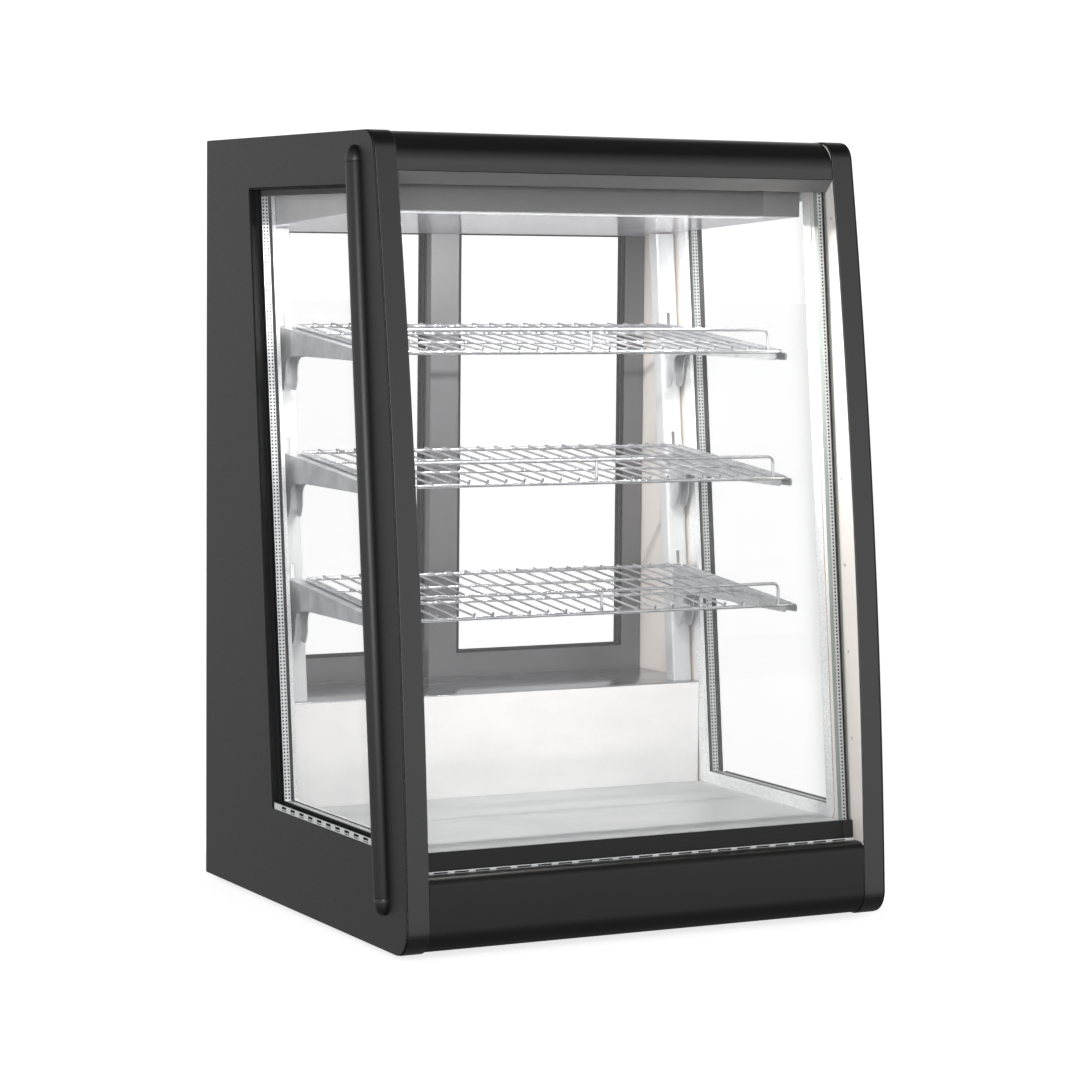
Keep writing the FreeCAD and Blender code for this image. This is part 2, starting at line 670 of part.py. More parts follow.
def bracket(side, level):
    """Stamped cantilever bracket: two cheeks, a top web and a hook into the upright."""
    x = side * UPRIGHT_X
    drop = WIRE_D / 2 + FIT
    y_root, z_root = shelf_root(level)
    y_tip = shelf_front(level)[0] + 12
    z_top = shelf_z(level, y_root) - drop
    z_tip = shelf_z(level, y_tip) - drop
    foot = z_root - HOOK_H
    y_foot = raked(UPRIGHT_MID, foot) - 0.3
    points = [(y_root, z_top), (y_root - 2, z_top), (y_tip, z_tip), (y_tip, z_tip - 9)]
    points += [(y_root - 62, z_top - 33), (y_root - 32, z_top - 35), (y_root - 22, z_top - 44)]
    points += [(y_foot - 16, foot + 10), (y_foot - 11, foot + 2), (y_foot - 5, foot), (y_foot, foot + 6)]
    cheek = polygon(points)
    half = BRACKET_W / 2
    sides = [extrude(cheek, x - half, x - half + BRACKET_T), extrude(cheek, x + half - BRACKET_T, x + half)]
    web = polygon([(y_root, z_top), (y_tip, z_tip), (y_tip, z_tip - BRACKET_T), (y_root, z_top - BRACKET_T)])
    sides.append(extrude(web, x - half, x + half))
    tongue_z = z_top - 30
    back = [(y_root, z_top), (y_root - 3, z_top), (raked(UPRIGHT_MID, tongue_z) - 3.3, tongue_z),
            (raked(UPRIGHT_MID, tongue_z) - 0.3, tongue_z)]
    sides.append(extrude(polygon(back), x - half, x + half))
    hook_z = (z_top - HOOK_SPAN[0], z_top - HOOK_SPAN[1])
    hook_y = [raked(UPRIGHT_MID, z) for z in hook_z]
    hook = [(y_root - 1, hook_z[0]), (hook_y[0] + HOOK_REACH, hook_z[0])]
    hook += [(hook_y[1] + HOOK_REACH, hook_z[1]), (hook_y[1] - 1, hook_z[1])]
    sides.append(extrude(polygon(hook), x - BRACKET_T, x + BRACKET_T))
    return fuse(sides)


def brackets(level):
    """Left and right bracket of one shelf."""
    return group([bracket(-1, level), bracket(1, level)])


def shelf(level):
    """Welded wire shelf with a guard rail along its front."""
    y0 = shelf_front(level)[0]
    y1 = y0 + SHELF_DEPTH

    def at(x, y, lift):
        return V(x, y, shelf_z(level, y) + lift)

    wires = []
    for y in (y0, y1):
        wires.append(rod(at(-SHELF_X, y, 0), at(SHELF_X, y, 0), WIRE_D))
    for x in (-SHELF_X, SHELF_X):
        wires.append(rod(at(x, y0, 0), at(x, y1, 0), WIRE_D))
    for part in (0.36, 0.7):
        y = y0 + part * SHELF_DEPTH
        wires.append(rod(at(-SHELF_X, y, 0), at(SHELF_X, y, 0), THIN_D))
    for i in range(1, CROSS_WIRES):
        x = -SHELF_X + 2 * SHELF_X * i / CROSS_WIRES
        wires.append(rod(at(x, y0 - 1, 2.6), at(x, y1 + 1, 2.6), THIN_D))
    for x in (-GUARD_X, 0, GUARD_X):
        wires.append(rod(at(x, y0, 0), at(x, y0, GUARD_H), THIN_D + 0.5))
    wires.append(rod(at(-GUARD_X - 1, y0, GUARD_H), at(GUARD_X + 1, y0, GUARD_H), THIN_D + 1))
    for x in (-SHELF_X, SHELF_X):
        for y in (y0, y1):
            wires.append(Part.makeSphere(WIRE_D / 2 + 0.01, at(x, y, 0)))
    return fuse(wires)


# ---------------------------------------------------------------- base and machinery

def base_pan():
    """Bottom tray between the end frames, with air slots under the evaporator."""
    y0, y1 = FASCIA_Y[1] + 1, TRACK_Y[1] - PAN_T
    floor = box(-LINER_X, LINER_X, y0, y1, PAN_Z, PAN_Z + PAN_T)
    rims = [box(-LINER_X, LINER_X, y, y + PAN_T, PAN_Z, PAN_Z + PAN_RIM) for y in (y0, y1 - PAN_T)]
    width, pitch, count = PAN_SLOT
    slots = []
    for i in range(count):
        x = (i - count / 2) * pitch
        slots.append(box(x, x + width, *PAN_SLOT_Y, 0, PAN_Z + PAN_RIM))
    return fuse([floor] + rims).cut(group(slots))


def panel_hole(place, half_w, half_h):
    """Rectangular cut through the service panel, with play round the insert."""
    x, z = place
    w, h = half_w + PANEL_FIT, half_h + PANEL_FIT
    return box(x - w, x + w, TRACK_Y[0], REAR_Y, z - h, z + h)


def service_panel():
    """Rear panel with louvre slots and openings for controller, switch and inlet."""
    panel = box(-LINER_X, LINER_X, TRACK_Y[1] - SHEET, TRACK_Y[1], *PANEL_Z)
    cuts = []
    for i in range(LOUVRES):
        z = LOUVRE_Z + i * LOUVRE_PITCH
        cuts.append(box(*LOUVRE_X, TRACK_Y[0], REAR_Y, z, z + LOUVRE_H))
    cuts.append(panel_hole(CONTROL, CONTROL_BODY[0], CONTROL_BODY[1]))
    cuts.append(panel_hole(SWITCH, SWITCH_BODY[0], SWITCH_BODY[1]))
    cuts.append(panel_hole(INLET, INLET_BODY[0], INLET_BODY[1]))
    return panel.cut(group(cuts))


def compressor():
    """Hermetic compressor: domed can on a foot plate with four rubber mounts and a service port."""
    x, y = COMPRESSOR
    z0, z1 = CAN_Z
    low_r, low_h, dome_r, dome_h = CAN_TAPER
    half_w, half_d, thick = CAN_PLATE
    mount_x, mount_y, mount_r = CAN_MOUNT
    can = Part.makeCylinder(CAN_R, z1 - z0, V(x, y, z0))
    low = Part.makeCone(low_r, CAN_R, low_h, V(x, y, z0 - low_h))
    dome = Part.makeCone(CAN_R, dome_r, dome_h, V(x, y, z1))
    plate_z = z0 - low_h - thick
    plate = box(x - half_w, x + half_w, y - half_d, y + half_d, plate_z, plate_z + thick)
    mounts = []
    for i in (-1, 1):
        for j in (-1, 1):
            foot = V(x + i * mount_x, y + j * mount_y, PAN_Z + PAN_T)
            mounts.append(Part.makeCylinder(mount_r, plate_z - PAN_Z - PAN_T, foot))
    port_y, port_z = y - CAN_R / 3, z1 - CAN_R / 2
    port = rod(V(x + CAN_R / 2, port_y, port_z), V(x + PORT_REACH, port_y, port_z), PORT_D)
    return fuse([can, low, dome, plate, port] + mounts)


def finned_coil(x_span, y_span, z_span, pitch, rows):
    """Heat exchanger: thin fins on straight tubes along X, with an end plate that reaches the pan."""
    (x0, x1), (y0, y1), (z0, z1) = x_span, y_span, z_span
    pieces = []
    count = int((x1 - x0) / pitch)
    for i in range(count + 1):
        x = x0 + i * (x1 - x0 - FIN_T) / count
        pieces.append(box(x, x + FIN_T, y0, y1, z0, z1))
    y = (y0 + y1) / 2
    for i in range(rows):
        z = z0 + (i + 0.5) * (z1 - z0) / rows
        pieces.append(rod(V(x0 - TUBE_OUT, y, z), V(x1 + TUBE_OUT, y, z), TUBE_D))
    for x in (x0, x1 - HEADER_T):
        pieces.append(box(x, x + HEADER_T, y0, y1, PAN_Z + PAN_T, z1))
    return fuse(pieces)


def fan_shroud(centre, r, front, depth, plate_y, motor_l):
    """Square plate with a round throat, and a motor held in front of it on four struts."""
    x, z = centre
    y0, y1 = plate_y
    side = r + SHROUD_LAP
    plate = box(x - side, x + side, y0, y1, max(z - side, PAN_Z + PAN_T), z + side)
    plate = plate.cut(Part.makeCylinder(r + TIP_PLAY, y1 - y0 + 2, V(x, y0 - 1, z), V(0, 1, 0)))
    motor = Part.makeCylinder(r * 0.34, motor_l, V(x, front - 1 - motor_l, z), V(0, 1, 0))
    bend_y = y0 - STRUT_BACK
    struts = []
    for i in (-1, 1):
        for j in (-1, 1):
            bend = V(x + i * (r + SHROUD_LAP - STRUT_D), bend_y, z + j * r / 2)
            struts.append(rod(V(x, bend_y, z), bend, STRUT_D))
            struts.append(rod(bend, bend.add(V(0, STRUT_BACK + 2, 0)), STRUT_D))
    return fuse([plate, motor] + struts)


def fan_blades(centre, r, front, depth, plate_y, motor_l):
    """Hub with twisted blades, turning about Y."""
    x, z = centre
    y = front + depth / 2
    pieces = [Part.makeCylinder(r * 0.28, depth, V(x, front, z), V(0, 1, 0))]
    for i in range(BLADES):
        blade = box(x - r * 0.2, x + r * 0.2, y - BLADE_T / 2, y + BLADE_T / 2, z + r * 0.2, z + r * 0.97)
        blade.rotate(V(x, y, z), V(0, 0, 1), BLADE_TWIST)
        blade.rotate(V(x, y, z), V(0, 1, 0), i * 360 / BLADES)
        pieces.append(blade)
    return fuse(pieces)


def panel_block(place, half_w, half_h, y0, y1):
    """Block centred on a place of the service panel."""
    x, z = place
    return box(x - half_w, x + half_w, y0, y1, z - half_h, z + half_h)


def controller():
    """Temperature controller: body, bezel, display recess and two button bores."""
    x, z = CONTROL
    half_w, half_h, depth = CONTROL_BODY
    y = TRACK_Y[1]
    unit = fuse([panel_block(CONTROL, half_w, half_h, y - depth, y),
                 panel_block(CONTROL, *CONTROL_BEZEL, y, y + BEZEL_T)])
    for bx in BUTTON_X:
        bore = Part.makeCylinder(BUTTON_R + 2 * GAP, BORE_L, V(bx, y + BEZEL_T + 3 - BORE_L, z), V(0, 1, 0))
        unit = unit.cut(bore)
    left, right, half = DISPLAY
    return unit.cut(box(x + left, x + right, y + BEZEL_T * 0.7, REAR_Y, z - half, z + half))


def button(x):
    """Round push button."""
    return Part.makeCylinder(BUTTON_R, BUTTON_L, V(x, BUTTON_Y, CONTROL[1]), V(0, 1, 0))


def switch_bezel():
    """Housing of the power switch, with a pocket for the rocker."""
    half_w, half_h, depth = SWITCH_BODY
    rim_w, rim_h, rim_t = SWITCH_RIM
    y = TRACK_Y[1]
    unit = fuse([panel_block(SWITCH, half_w, half_h, y - depth, y),
                 panel_block(SWITCH, rim_w, rim_h, y, y + rim_t)])
    return unit.cut(panel_block(SWITCH, POCKET[0], POCKET[1], y - POCKET[2], REAR_Y))


def power_rocker():
    """Rocker of the power switch on its pivot pin, resting with its lower half in."""
    x, z = SWITCH
    points = [(276, z - 5), (280.4, z - 11), (281.8, z), (280.4, z + 11), (276, z + 5)]
    rocker = extrude(polygon(points), x - ROCKER_W / 2, x + ROCKER_W / 2)
    rocker.rotate(V(x, ROCKER_AXIS_Y, z), V(1, 0, 0), ROCKER_TILT)
    pin_d, pin_out = ROCKER_PIN
    reach = ROCKER_W / 2 + pin_out
    pin = rod(V(x - reach, ROCKER_AXIS_Y, z), V(x + reach, ROCKER_AXIS_Y, z), pin_d)
    return fuse([rocker, pin])


def power_inlet():
    """Mains inlet: shell with a socket and three blades."""
    x, z = INLET
    half_w, half_h, depth = INLET_BODY
    socket_w, socket_h, socket_depth = INLET_SOCKET
    y = TRACK_Y[1]
    shell = fuse([panel_block(INLET, half_w, half_h, y - depth, y),
                  panel_block(INLET, *INLET_RIM, y, y + BEZEL_T)])
    shell = shell.cut(panel_block(INLET, socket_w, socket_h, y - socket_depth, REAR_Y + 1))
    half_t, half_l, length = PIN_SIZE
    foot = y - socket_depth - 2
    blades = [panel_block((x + dx, z + dz), half_t, half_l, foot, foot + length) for dx, dz in PIN_PLACES]
    return fuse([shell] + blades)


def rubber_feet():
    """Four pads under the base pan."""
    feet = []
    for x in (-FOOT_X, FOOT_X):
        for y in FOOT_Y:
            feet.append(Part.makeCone(FOOT_R[0], FOOT_R[1], PAN_Z, V(x, y, 0)))
    return group(feet)


def screws():
    """Panel screws at the rear and the row of rivets on each inner face in front of the glass."""
    heads = []
    for x in SCREW_X:
        for z in SCREW_Z:
            heads.append(Part.makeCylinder(SCREW_R, SCREW_H, V(x, TRACK_Y[1], z), V(0, 1, 0)))
    for i in range(RIVETS):
        z = RIVET_Z + i * RIVET_PITCH
        y = raked(GLASS_MID - RIVET_BACK, z)
        for side in (-1, 1):
            heads.append(Part.makeCylinder(RIVET_R, RIVET_H, V(side * INNER_X, y, z), V(-side, 0, 0)))
    return group(heads)


def all_parts():
    """Every node with its shape."""
    parts = {}
    for name, maker in (("side_cover", side_cover), ("end_frame", end_frame), ("edge_band", edge_band),
                        ("trim_bar", trim_bar), ("window_panes", window_panes)):
        left = maker()
        parts["left_" + name] = left
        parts["right_" + name] = mirrored(left)
    caps = trim_caps()
    parts["trim_end_caps"] = group(caps + [mirrored(cap) for cap in caps])
    parts["window_gaskets"] = pair(window_gasket())
    parts["window_inner_frames"] = pair(window_inner_frame())
    parts["side_vent_strips"] = pair(side_vent_strip())
    spacer = window_spacer()
    parts["glazing_spacers"] = group([spacer, mirrored(spacer), front_spacer()])
    parts["front_glass_panes"] = front_glass_panes()
    parts["front_glass_rail"] = rail_prism(-RAIL_X + 0.2, RAIL_X - 0.2, 0)
    parts["rail_end_blocks"] = rail_end_blocks()
    parts["front_vent_strip"] = front_vent_strip()
    parts["lower_fascia"] = lower_fascia()
    parts["canopy"] = canopy()
    parts["canopy_lip"] = canopy_lip()
    parts["roof_panel"] = roof_panel()
    parts["ceiling_box"] = ceiling_box()
    parts["light_lens"] = light_lens()
    parts["driver_cover"] = driver_cover()
    parts["deck_plate"] = deck_plate()
    parts["riser_panel"] = riser_panel()
    parts["riser_ledge"] = riser_ledge()
    parts["door_header"] = door_header()
    parts["door_sill"] = door_sill()
    parts["left_door_frame"] = door_frame(*LEFT_DOOR)
    parts["left_door_pane"] = door_pane(*LEFT_DOOR)
    parts["right_door_frame"] = door_frame(*RIGHT_DOOR)
    parts["right_door_pane"] = door_pane(*RIGHT_DOOR)
    parts["left_upright"] = upright(-1)
    parts["right_upright"] = upright(1)
    for name, level in LEVELS:
        parts[name + "_brackets"] = brackets(level)
        parts[name + "_shelf"] = shelf(level)
    parts["base_pan"] = base_pan()
    parts["service_panel"] = service_panel()
    parts["compressor"] = compressor()
    for name, coil, fan in (("condenser", CONDENSER, COND_FAN), ("evaporator", EVAPORATOR, EVAP_FAN)):
        parts[name + "_coil"] = finned_coil(*coil)
        parts[name + "_fan_shroud"] = fan_shroud(*fan)
        parts[name + "_fan_blades"] = fan_blades(*fan)
    parts["controller"] = controller()
    parts["up_button"] = button(BUTTON_X[0])
    parts["down_button"] = button(BUTTON_X[1])
    parts["switch_bezel"] = switch_bezel()
    parts["power_rocker"] = power_rocker()
    parts["power_inlet"] = power_inlet()
    parts["rubber_feet"] = rubber_feet()
    parts["screws"] = screws()
    return parts


os.makedirs("parts", exist_ok=True)
for node, shape in all_parts().items():
    shape.exportStep("parts/" + node + ".step")
    size = shape.BoundBox
    print(node, len(shape.Solids), shape.isValid(), round(shape.Volume / 1000, 1), "cm3",
          round(size.XMin, 1), round(size.XMax, 1), round(size.YMin, 1), round(size.YMax, 1),
          round(size.ZMin, 1), round(size.ZMax, 1))
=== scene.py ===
"""Finished look of a countertop refrigerated bakery display case.

Lengths are in millimetres until a mesh is made, with the part's own axes: X to the right
as a customer sees the case, Y to the rear, Z up, origin on the counter under its middle.
"""
import math

import bmesh
import bpy
import numpy as np
from mathutils import Matrix, Vector


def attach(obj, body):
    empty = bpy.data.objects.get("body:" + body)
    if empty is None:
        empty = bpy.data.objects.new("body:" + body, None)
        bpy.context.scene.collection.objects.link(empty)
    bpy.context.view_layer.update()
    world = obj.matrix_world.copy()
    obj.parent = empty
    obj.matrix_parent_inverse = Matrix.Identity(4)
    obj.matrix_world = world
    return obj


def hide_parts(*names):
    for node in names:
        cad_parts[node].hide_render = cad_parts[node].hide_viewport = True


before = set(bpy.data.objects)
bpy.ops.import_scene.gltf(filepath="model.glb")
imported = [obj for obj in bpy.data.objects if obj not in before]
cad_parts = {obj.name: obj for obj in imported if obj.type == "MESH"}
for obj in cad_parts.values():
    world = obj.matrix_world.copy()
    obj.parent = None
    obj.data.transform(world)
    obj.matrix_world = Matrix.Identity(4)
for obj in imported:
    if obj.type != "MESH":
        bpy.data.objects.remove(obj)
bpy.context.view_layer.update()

# ---------------------------------------------------------------- sizes

SIDE_X = 300.0            # outer face of the side covers
INNER_X = 272.5           # inner face of the end frames
LINER_X = 270.5           # half width of the sheets between the end frames
INFILL_X = 272.3          # half width of the mouldings at the top and bottom of the front
REAR_Y = 284.6
FOOT_Z = 6.0
TOP_Z = 881.0
MID_Z = 436.0             # height at which raked pieces state their place
LEAN = math.radians(6.1)  # how far the glass leans back
SLOPE = math.tan(LEAN)
BOW = ((-195.0, 826.0), (-250.4, 441.0), (-283.5, 56.0))      # points of the bowed front edge
TOP_R, LOW_R = 24.0, 27.0
WINDOW = (114.0, 823.0, 114.1, -178.0)      # low, high, rear and front at mid height
TRIM_Y, TRIM_Z, TRIM_R = -187.0, (60.5, 849.0), 11.0
GLASS_Y = -218.7          # outer face of the front glass at mid height
GLASS_Z = (102.0, 843.0)
PANE, GAP = 4.0, 8.0      # glass, and the space between two panes
UPRIGHT_Y, UPRIGHT_X = 129.0, 256.5
SHELF_Y, SHELF_Z = -139.5, 495.7
SHELF_DEPTH, SHELF_FALL, SHELF_X = 255.0, 0.0945, 250.5      # depth, fall per mm, half width
SHELF_PITCH = 145.4
LEDGE_Z = 232.0
SLOT_PITCH = 25.0         # of the vent slots
DOOR_Z, DOOR_GLASS_Z = (227.0, 803.0), (262.0, 776.0)
DOORS = (("left", -271.5, 14.0, 262.0, False), ("right", -24.0, 271.5, 244.0, True))
STILES = ((28.0, 38.0), (38.0, 28.0))       # left and right widths; doors meet at the wide one
PANEL_Y, PANEL_Z = 282.0, (12.0, 213.8)
LOUVRE_X, LOUVRE_Z, LOUVRES = (-62.0, 122.0), 40.0, 9
CONTROL, SWITCH, INLET = (205.0, 188.0), (205.0, 133.0), (-205.0, 58.0)
KEY_X = (224.0, 235.0)


# ---------------------------------------------------------------- materials

def linear(code):
    """Linear colour of an sRGB hex code: the power curve with its straight foot."""
    s = np.array([int(code[i:i + 2], 16) for i in (1, 3, 5)]) / 255
    return (*np.where(s <= 0.04045, s / 12.92, ((s + 0.055) / 1.055) ** 2.4).tolist(), 1.0)


def add_node(tree, kind, settings=(), links=()):
    """Adds one node. Settings are its attributes or input values, links are input: output."""
    node = tree.nodes.new(kind)
    for key, value in dict(settings).items():
        if isinstance(key, str) and hasattr(node, key):
            setattr(node, key, value)
        else:
            node.inputs[key].default_value = value
    for key, source in dict(links).items():
        tree.links.new(source, node.inputs[key])
    return node


def new_material(name):
    """Empty node material with its Principled shader."""
    material = bpy.data.materials.new(name)
    material.use_nodes = True
    return material, material.node_tree, material.node_tree.nodes["Principled BSDF"]


def noise_at(tree, where, sizes, detail):
    """Noise whose blobs have the given sizes in millimetres along X, Y and Z."""
    scaled = add_node(tree, "ShaderNodeMapping", {"Scale": [1000 / size for size in sizes]},
                      {"Vector": where.outputs["Object"]})
    return add_node(tree, "ShaderNodeTexNoise", {"Scale": 1.0, "Detail": detail},
                    {"Vector": scaled.outputs[0]})


def mottled(name, dark, light, patch, grain, rough, bump, depth, constants):
    """Paint, plastic or metal whose colour drifts between two shades over patches, whose
    roughness runs between two values with the grain, and whose grain stands up as a bump.
    Patch and grain are sizes in millimetres along X, Y and Z."""
    material, tree, shader = new_material(name)
    where = add_node(tree, "ShaderNodeTexCoord")
    clouds = noise_at(tree, where, patch, 3.0)
    clouds.inputs["Roughness"].default_value = 0.55
    tone = add_node(tree, "ShaderNodeMapRange", {1: 0.3, 2: 0.7}, {0: clouds.outputs[0]})
    colour = add_node(tree, "ShaderNodeMix", {"data_type": "RGBA", 6: linear(dark), 7: linear(light)},
                      {0: tone.outputs[0]})
    specks = noise_at(tree, where, grain, 2.0)
    gloss = add_node(tree, "ShaderNodeMapRange", {1: 0.3, 2: 0.7, 3: rough[0], 4: rough[1]},
                     {0: specks.outputs[0]})
    relief = add_node(tree, "ShaderNodeBump", {"Strength": bump, "Distance": depth / 1000},
                      {"Height": specks.outputs[0]})
    tree.links.new(colour.outputs[2], shader.inputs["Base Color"])
    tree.links.new(gloss.outputs[0], shader.inputs["Roughness"])
    tree.links.new(relief.outputs[0], shader.inputs["Normal"])
    for key, value in constants.items():
        shader.inputs[key].default_value = value
    return material


def pane_glass(name, painted_edge_shade=None):
    """Float glass: what is behind it shows through unbent, and a glint rises with the fifth
    power of how edge-on the surface is seen, from the few per cent that glass has head on.
    Painted shade greys what shows through over the last 60 mm before the leaning front edge of a side window."""
    material, tree, shader = new_material(name)
    where = add_node(tree, "ShaderNodeTexCoord")
    smear = noise_at(tree, where, (250.0, 250.0, 1000 / 3), 2.0)
    haze = add_node(tree, "ShaderNodeMapRange", {1: 0.35, 2: 0.7, 3: 0.01, 4: 0.05}, {0: smear.outputs[0]})
    facing = add_node(tree, "ShaderNodeLayerWeight", {"Blend": 0.5})
    edge_on = add_node(tree, "ShaderNodeMath", {"operation": "POWER", 1: 5.0},
                       {0: facing.outputs["Facing"]})
    share = add_node(tree, "ShaderNodeMath", {"operation": "MULTIPLY_ADD", 1: 0.3, 2: 0.018},
                     {0: edge_on.outputs[0]})
    through = add_node(tree, "ShaderNodeBsdfTransparent")
    # painted shade: what shows through turns grey towards the front edge of a side window
    if painted_edge_shade:
        place = add_node(tree, "ShaderNodeVectorMath", {"operation": "DOT_PRODUCT", 1: (0.0, 1.0, -SLOPE)},
                         {0: where.outputs["Object"]})
        front = (WINDOW[3] - MID_Z * SLOPE) / 1000
        shade_ramp = add_node(tree, "ShaderNodeMapRange", {1: front + 0.06, 2: front + 0.004},
                        {0: place.outputs["Value"]})
        shades = {"data_type": "RGBA", 6: linear("#ffffff"), 7: linear(painted_edge_shade)}
        painted_shade = add_node(tree, "ShaderNodeMix", shades, {0: shade_ramp.outputs[0]})
        tree.links.new(painted_shade.outputs[2], through.inputs["Color"])
    mirror = add_node(tree, "ShaderNodeBsdfGlossy", {"Color": linear("#ffffff")},
                      {"Roughness": haze.outputs[0]})
    both = add_node(tree, "ShaderNodeMixShader", {},
                    {0: share.outputs[0], 1: through.outputs[0], 2: mirror.outputs[0]})
    tree.links.new(both.outputs[0], tree.nodes["Material Output"].inputs["Surface"])
    tree.nodes.remove(shader)
    return material


def perforated(name, metal, painted_hole_shade, pitch, size):
    """Spacer bar metal with rows of punched dots: the strip's own map runs in millimetres along
    and across it, and a dot is where the distance to the middle of its pitch square is small.
    Each dot is painted shade, the dark inside the hollow bar seen through a punched hole."""
    material, tree, shader = new_material(name)
    strip = add_node(tree, "ShaderNodeUVMap", {"uv_map": "strip"})
    cells = add_node(tree, "ShaderNodeVectorMath", {"operation": "SCALE", "Scale": 1000 / pitch},
                     {0: strip.outputs[0]})
    spot = add_node(tree, "ShaderNodeVectorMath", {"operation": "FRACTION"}, {0: cells.outputs[0]})
    away = add_node(tree, "ShaderNodeVectorMath", {"operation": "DISTANCE", 1: (0.5, 0.5, 0.0)},
                    {0: spot.outputs[0]})
    solid = add_node(tree, "ShaderNodeMapRange", {1: size - 0.07, 2: size + 0.07},
                     {0: away.outputs["Value"]})
    # each dot is painted dark: the shade inside the hollow bar
    colour = add_node(tree, "ShaderNodeMix", {"data_type": "RGBA", 6: linear(painted_hole_shade), 7: linear(metal)},
                      {0: solid.outputs[0]})
    dent = add_node(tree, "ShaderNodeBump", {"Strength": 0.5, "Distance": 0.0003},
                    {"Height": solid.outputs[0]})
    gloss = add_node(tree, "ShaderNodeMapRange", {3: 0.7, 4: 0.34}, {0: solid.outputs[0]})
    tree.links.new(colour.outputs[2], shader.inputs["Base Color"])
    tree.links.new(dent.outputs[0], shader.inputs["Normal"])
    tree.links.new(gloss.outputs[0], shader.inputs["Roughness"])
    shader.inputs["Metallic"].default_value = 0.6
    return material


# Sprayed and baked polyester powder coat: a very fine orange peel softens every highlight.
GRAPHITE = mottled("satin_graphite_powder_coat", "#111111", "#141414", (240, 240, 320), (1.6, 1.6, 1.6),
                   (0.34, 0.42), 0.06, 0.04, {"Specular IOR Level": 0.42})
# Extruded, black anodised aluminium: smoother than the paint, with faint die lines along it.
BAND = mottled("black_anodised_aluminium", "#121212", "#151515", (240, 240, 320), (9.0, 2.0, 2.0),
               (0.17, 0.22), 0.03, 0.01, {"Specular IOR Level": 0.75})
# Rolled steel with a baked black enamel: nearly black, and it keeps a soft sheen.
RAIL = mottled("black_painted_steel", "#060606", "#0a0a0a", (200, 60, 60), (3.0, 1.5, 1.5), (0.3, 0.4),
               0.05, 0.02, {"Specular IOR Level": 0.35})
# Extruded half-round with a graphite anodised skin: long die lines blur its highlight lengthways.
TRIM = mottled("graphite_anodised_trim", "#161515", "#1b1919", (60, 60, 240), (0.9, 0.9, 40.0),
               (0.3, 0.4), 0.08, 0.03, {"Specular IOR Level": 0.6})
# Satin etched, clear anodised aluminium: an even mid grey that hardly mirrors.
LIP = mottled("satin_grey_anodised_aluminium", "#7b7b7c", "#868687", (200, 60, 60), (60, 1.0, 1.0),
              (0.34, 0.44), 0.06, 0.03, {"Metallic": 0.25})
# Injection moulded ABS with a spark-eroded grain: black, with a broken, dull shine.
ABS_BLACK = mottled("black_moulded_abs", "#151515", "#1b1b1b", (30, 30, 30), (0.7, 0.7, 0.7),
                    (0.38, 0.52), 0.15, 0.04, {})
# Extruded EPDM: matt, and dusty rather than black where light grazes it. The same black also backs the sill
# vents as painted shade seen through their slots.
RUBBER_AND_VENT_SHADE = mottled("black_epdm_rubber_and_vent_shade", "#0b0b0b", "#111111", (40, 40, 60), (0.8, 0.8, 0.8), (0.55, 0.7),
                 0.12, 0.05, {"Specular IOR Level": 0.3})
# Wet-painted steel liner: warm off-white with a soft, even sheen.
CREAM = mottled("cream_painted_liner", "#e1dbd6", "#e8e2dd", (180, 120, 240), (1.4, 1.4, 1.4),
                (0.34, 0.46), 0.08, 0.04, {})
# Coil-coated steel sheet: clean white with a light gloss and no grain.
WHITE_PANEL = mottled("white_coated_steel", "#f0efef", "#fbfafa", (150, 60, 70), (1.2, 1.2, 1.2),
                      (0.24, 0.4), 0.05, 0.03, {})
# Stove-enamelled sheet over the lamp: a hard gloss that shows the shelves dimly.
GLOSS_WHITE = mottled("gloss_white_ceiling_sheet", "#e2e1ec", "#efeef5", (90, 200, 60), (2.5, 2.5, 2.5),
                      (0.1, 0.2), 0.04, 0.04, {"Coat Weight": 0.3})
# Stainless steel brushed along the case: scratches a hand long stretch every reflection.
BRUSHED = mottled("brushed_stainless_steel", "#b2b3b6", "#c8c9cc", (120, 60, 60), (45.0, 0.7, 0.7),
                  (0.16, 0.28), 0.08, 0.02, {"Metallic": 1.0})
# Fine-brushed stainless deck, worn by trays: paler and duller than the ledge.
DECK = mottled("fine_brushed_deck_steel", "#b9bbbd", "#c9cbcc", (160, 110, 110), (60.0, 0.9, 0.9),
               (0.34, 0.5), 0.06, 0.02, {"Metallic": 0.45})
# Brushed stainless of the light box: mid grey under its own lamp, with long fine scratches.
CEILING = mottled("brushed_ceiling_steel", "#b4b4b6", "#c4c4c6", (150, 60, 60), (50.0, 0.8, 0.8),
                  (0.3, 0.44), 0.08, 0.02, {"Metallic": 0.35})
# Clear anodised frame section: almost white, with crisp bright edges.
BRIGHT = mottled("bright_anodised_frame", "#dfe1e2", "#eceded", (80, 80, 120), (1.5, 1.5, 1.5),
                 (0.22, 0.34), 0.04, 0.02, {"Metallic": 0.15})
# Grey anodised door extrusions: dull metal with die lines that run up the stiles.
DOOR = mottled("grey_anodised_door_profile", "#646466", "#69696b", (160, 60, 200), (0.8, 0.8, 30.0),
               (0.3, 0.4), 0.08, 0.03, {"Metallic": 0.5})
# Zinc-plated pressings: silvery with cloudy patches from the bath.
ZINC = mottled("zinc_plated_steel", "#b9bbbd", "#d6d8da", (22, 22, 22), (1.1, 1.1, 1.1), (0.28, 0.42),
               0.08, 0.03, {"Metallic": 0.75})
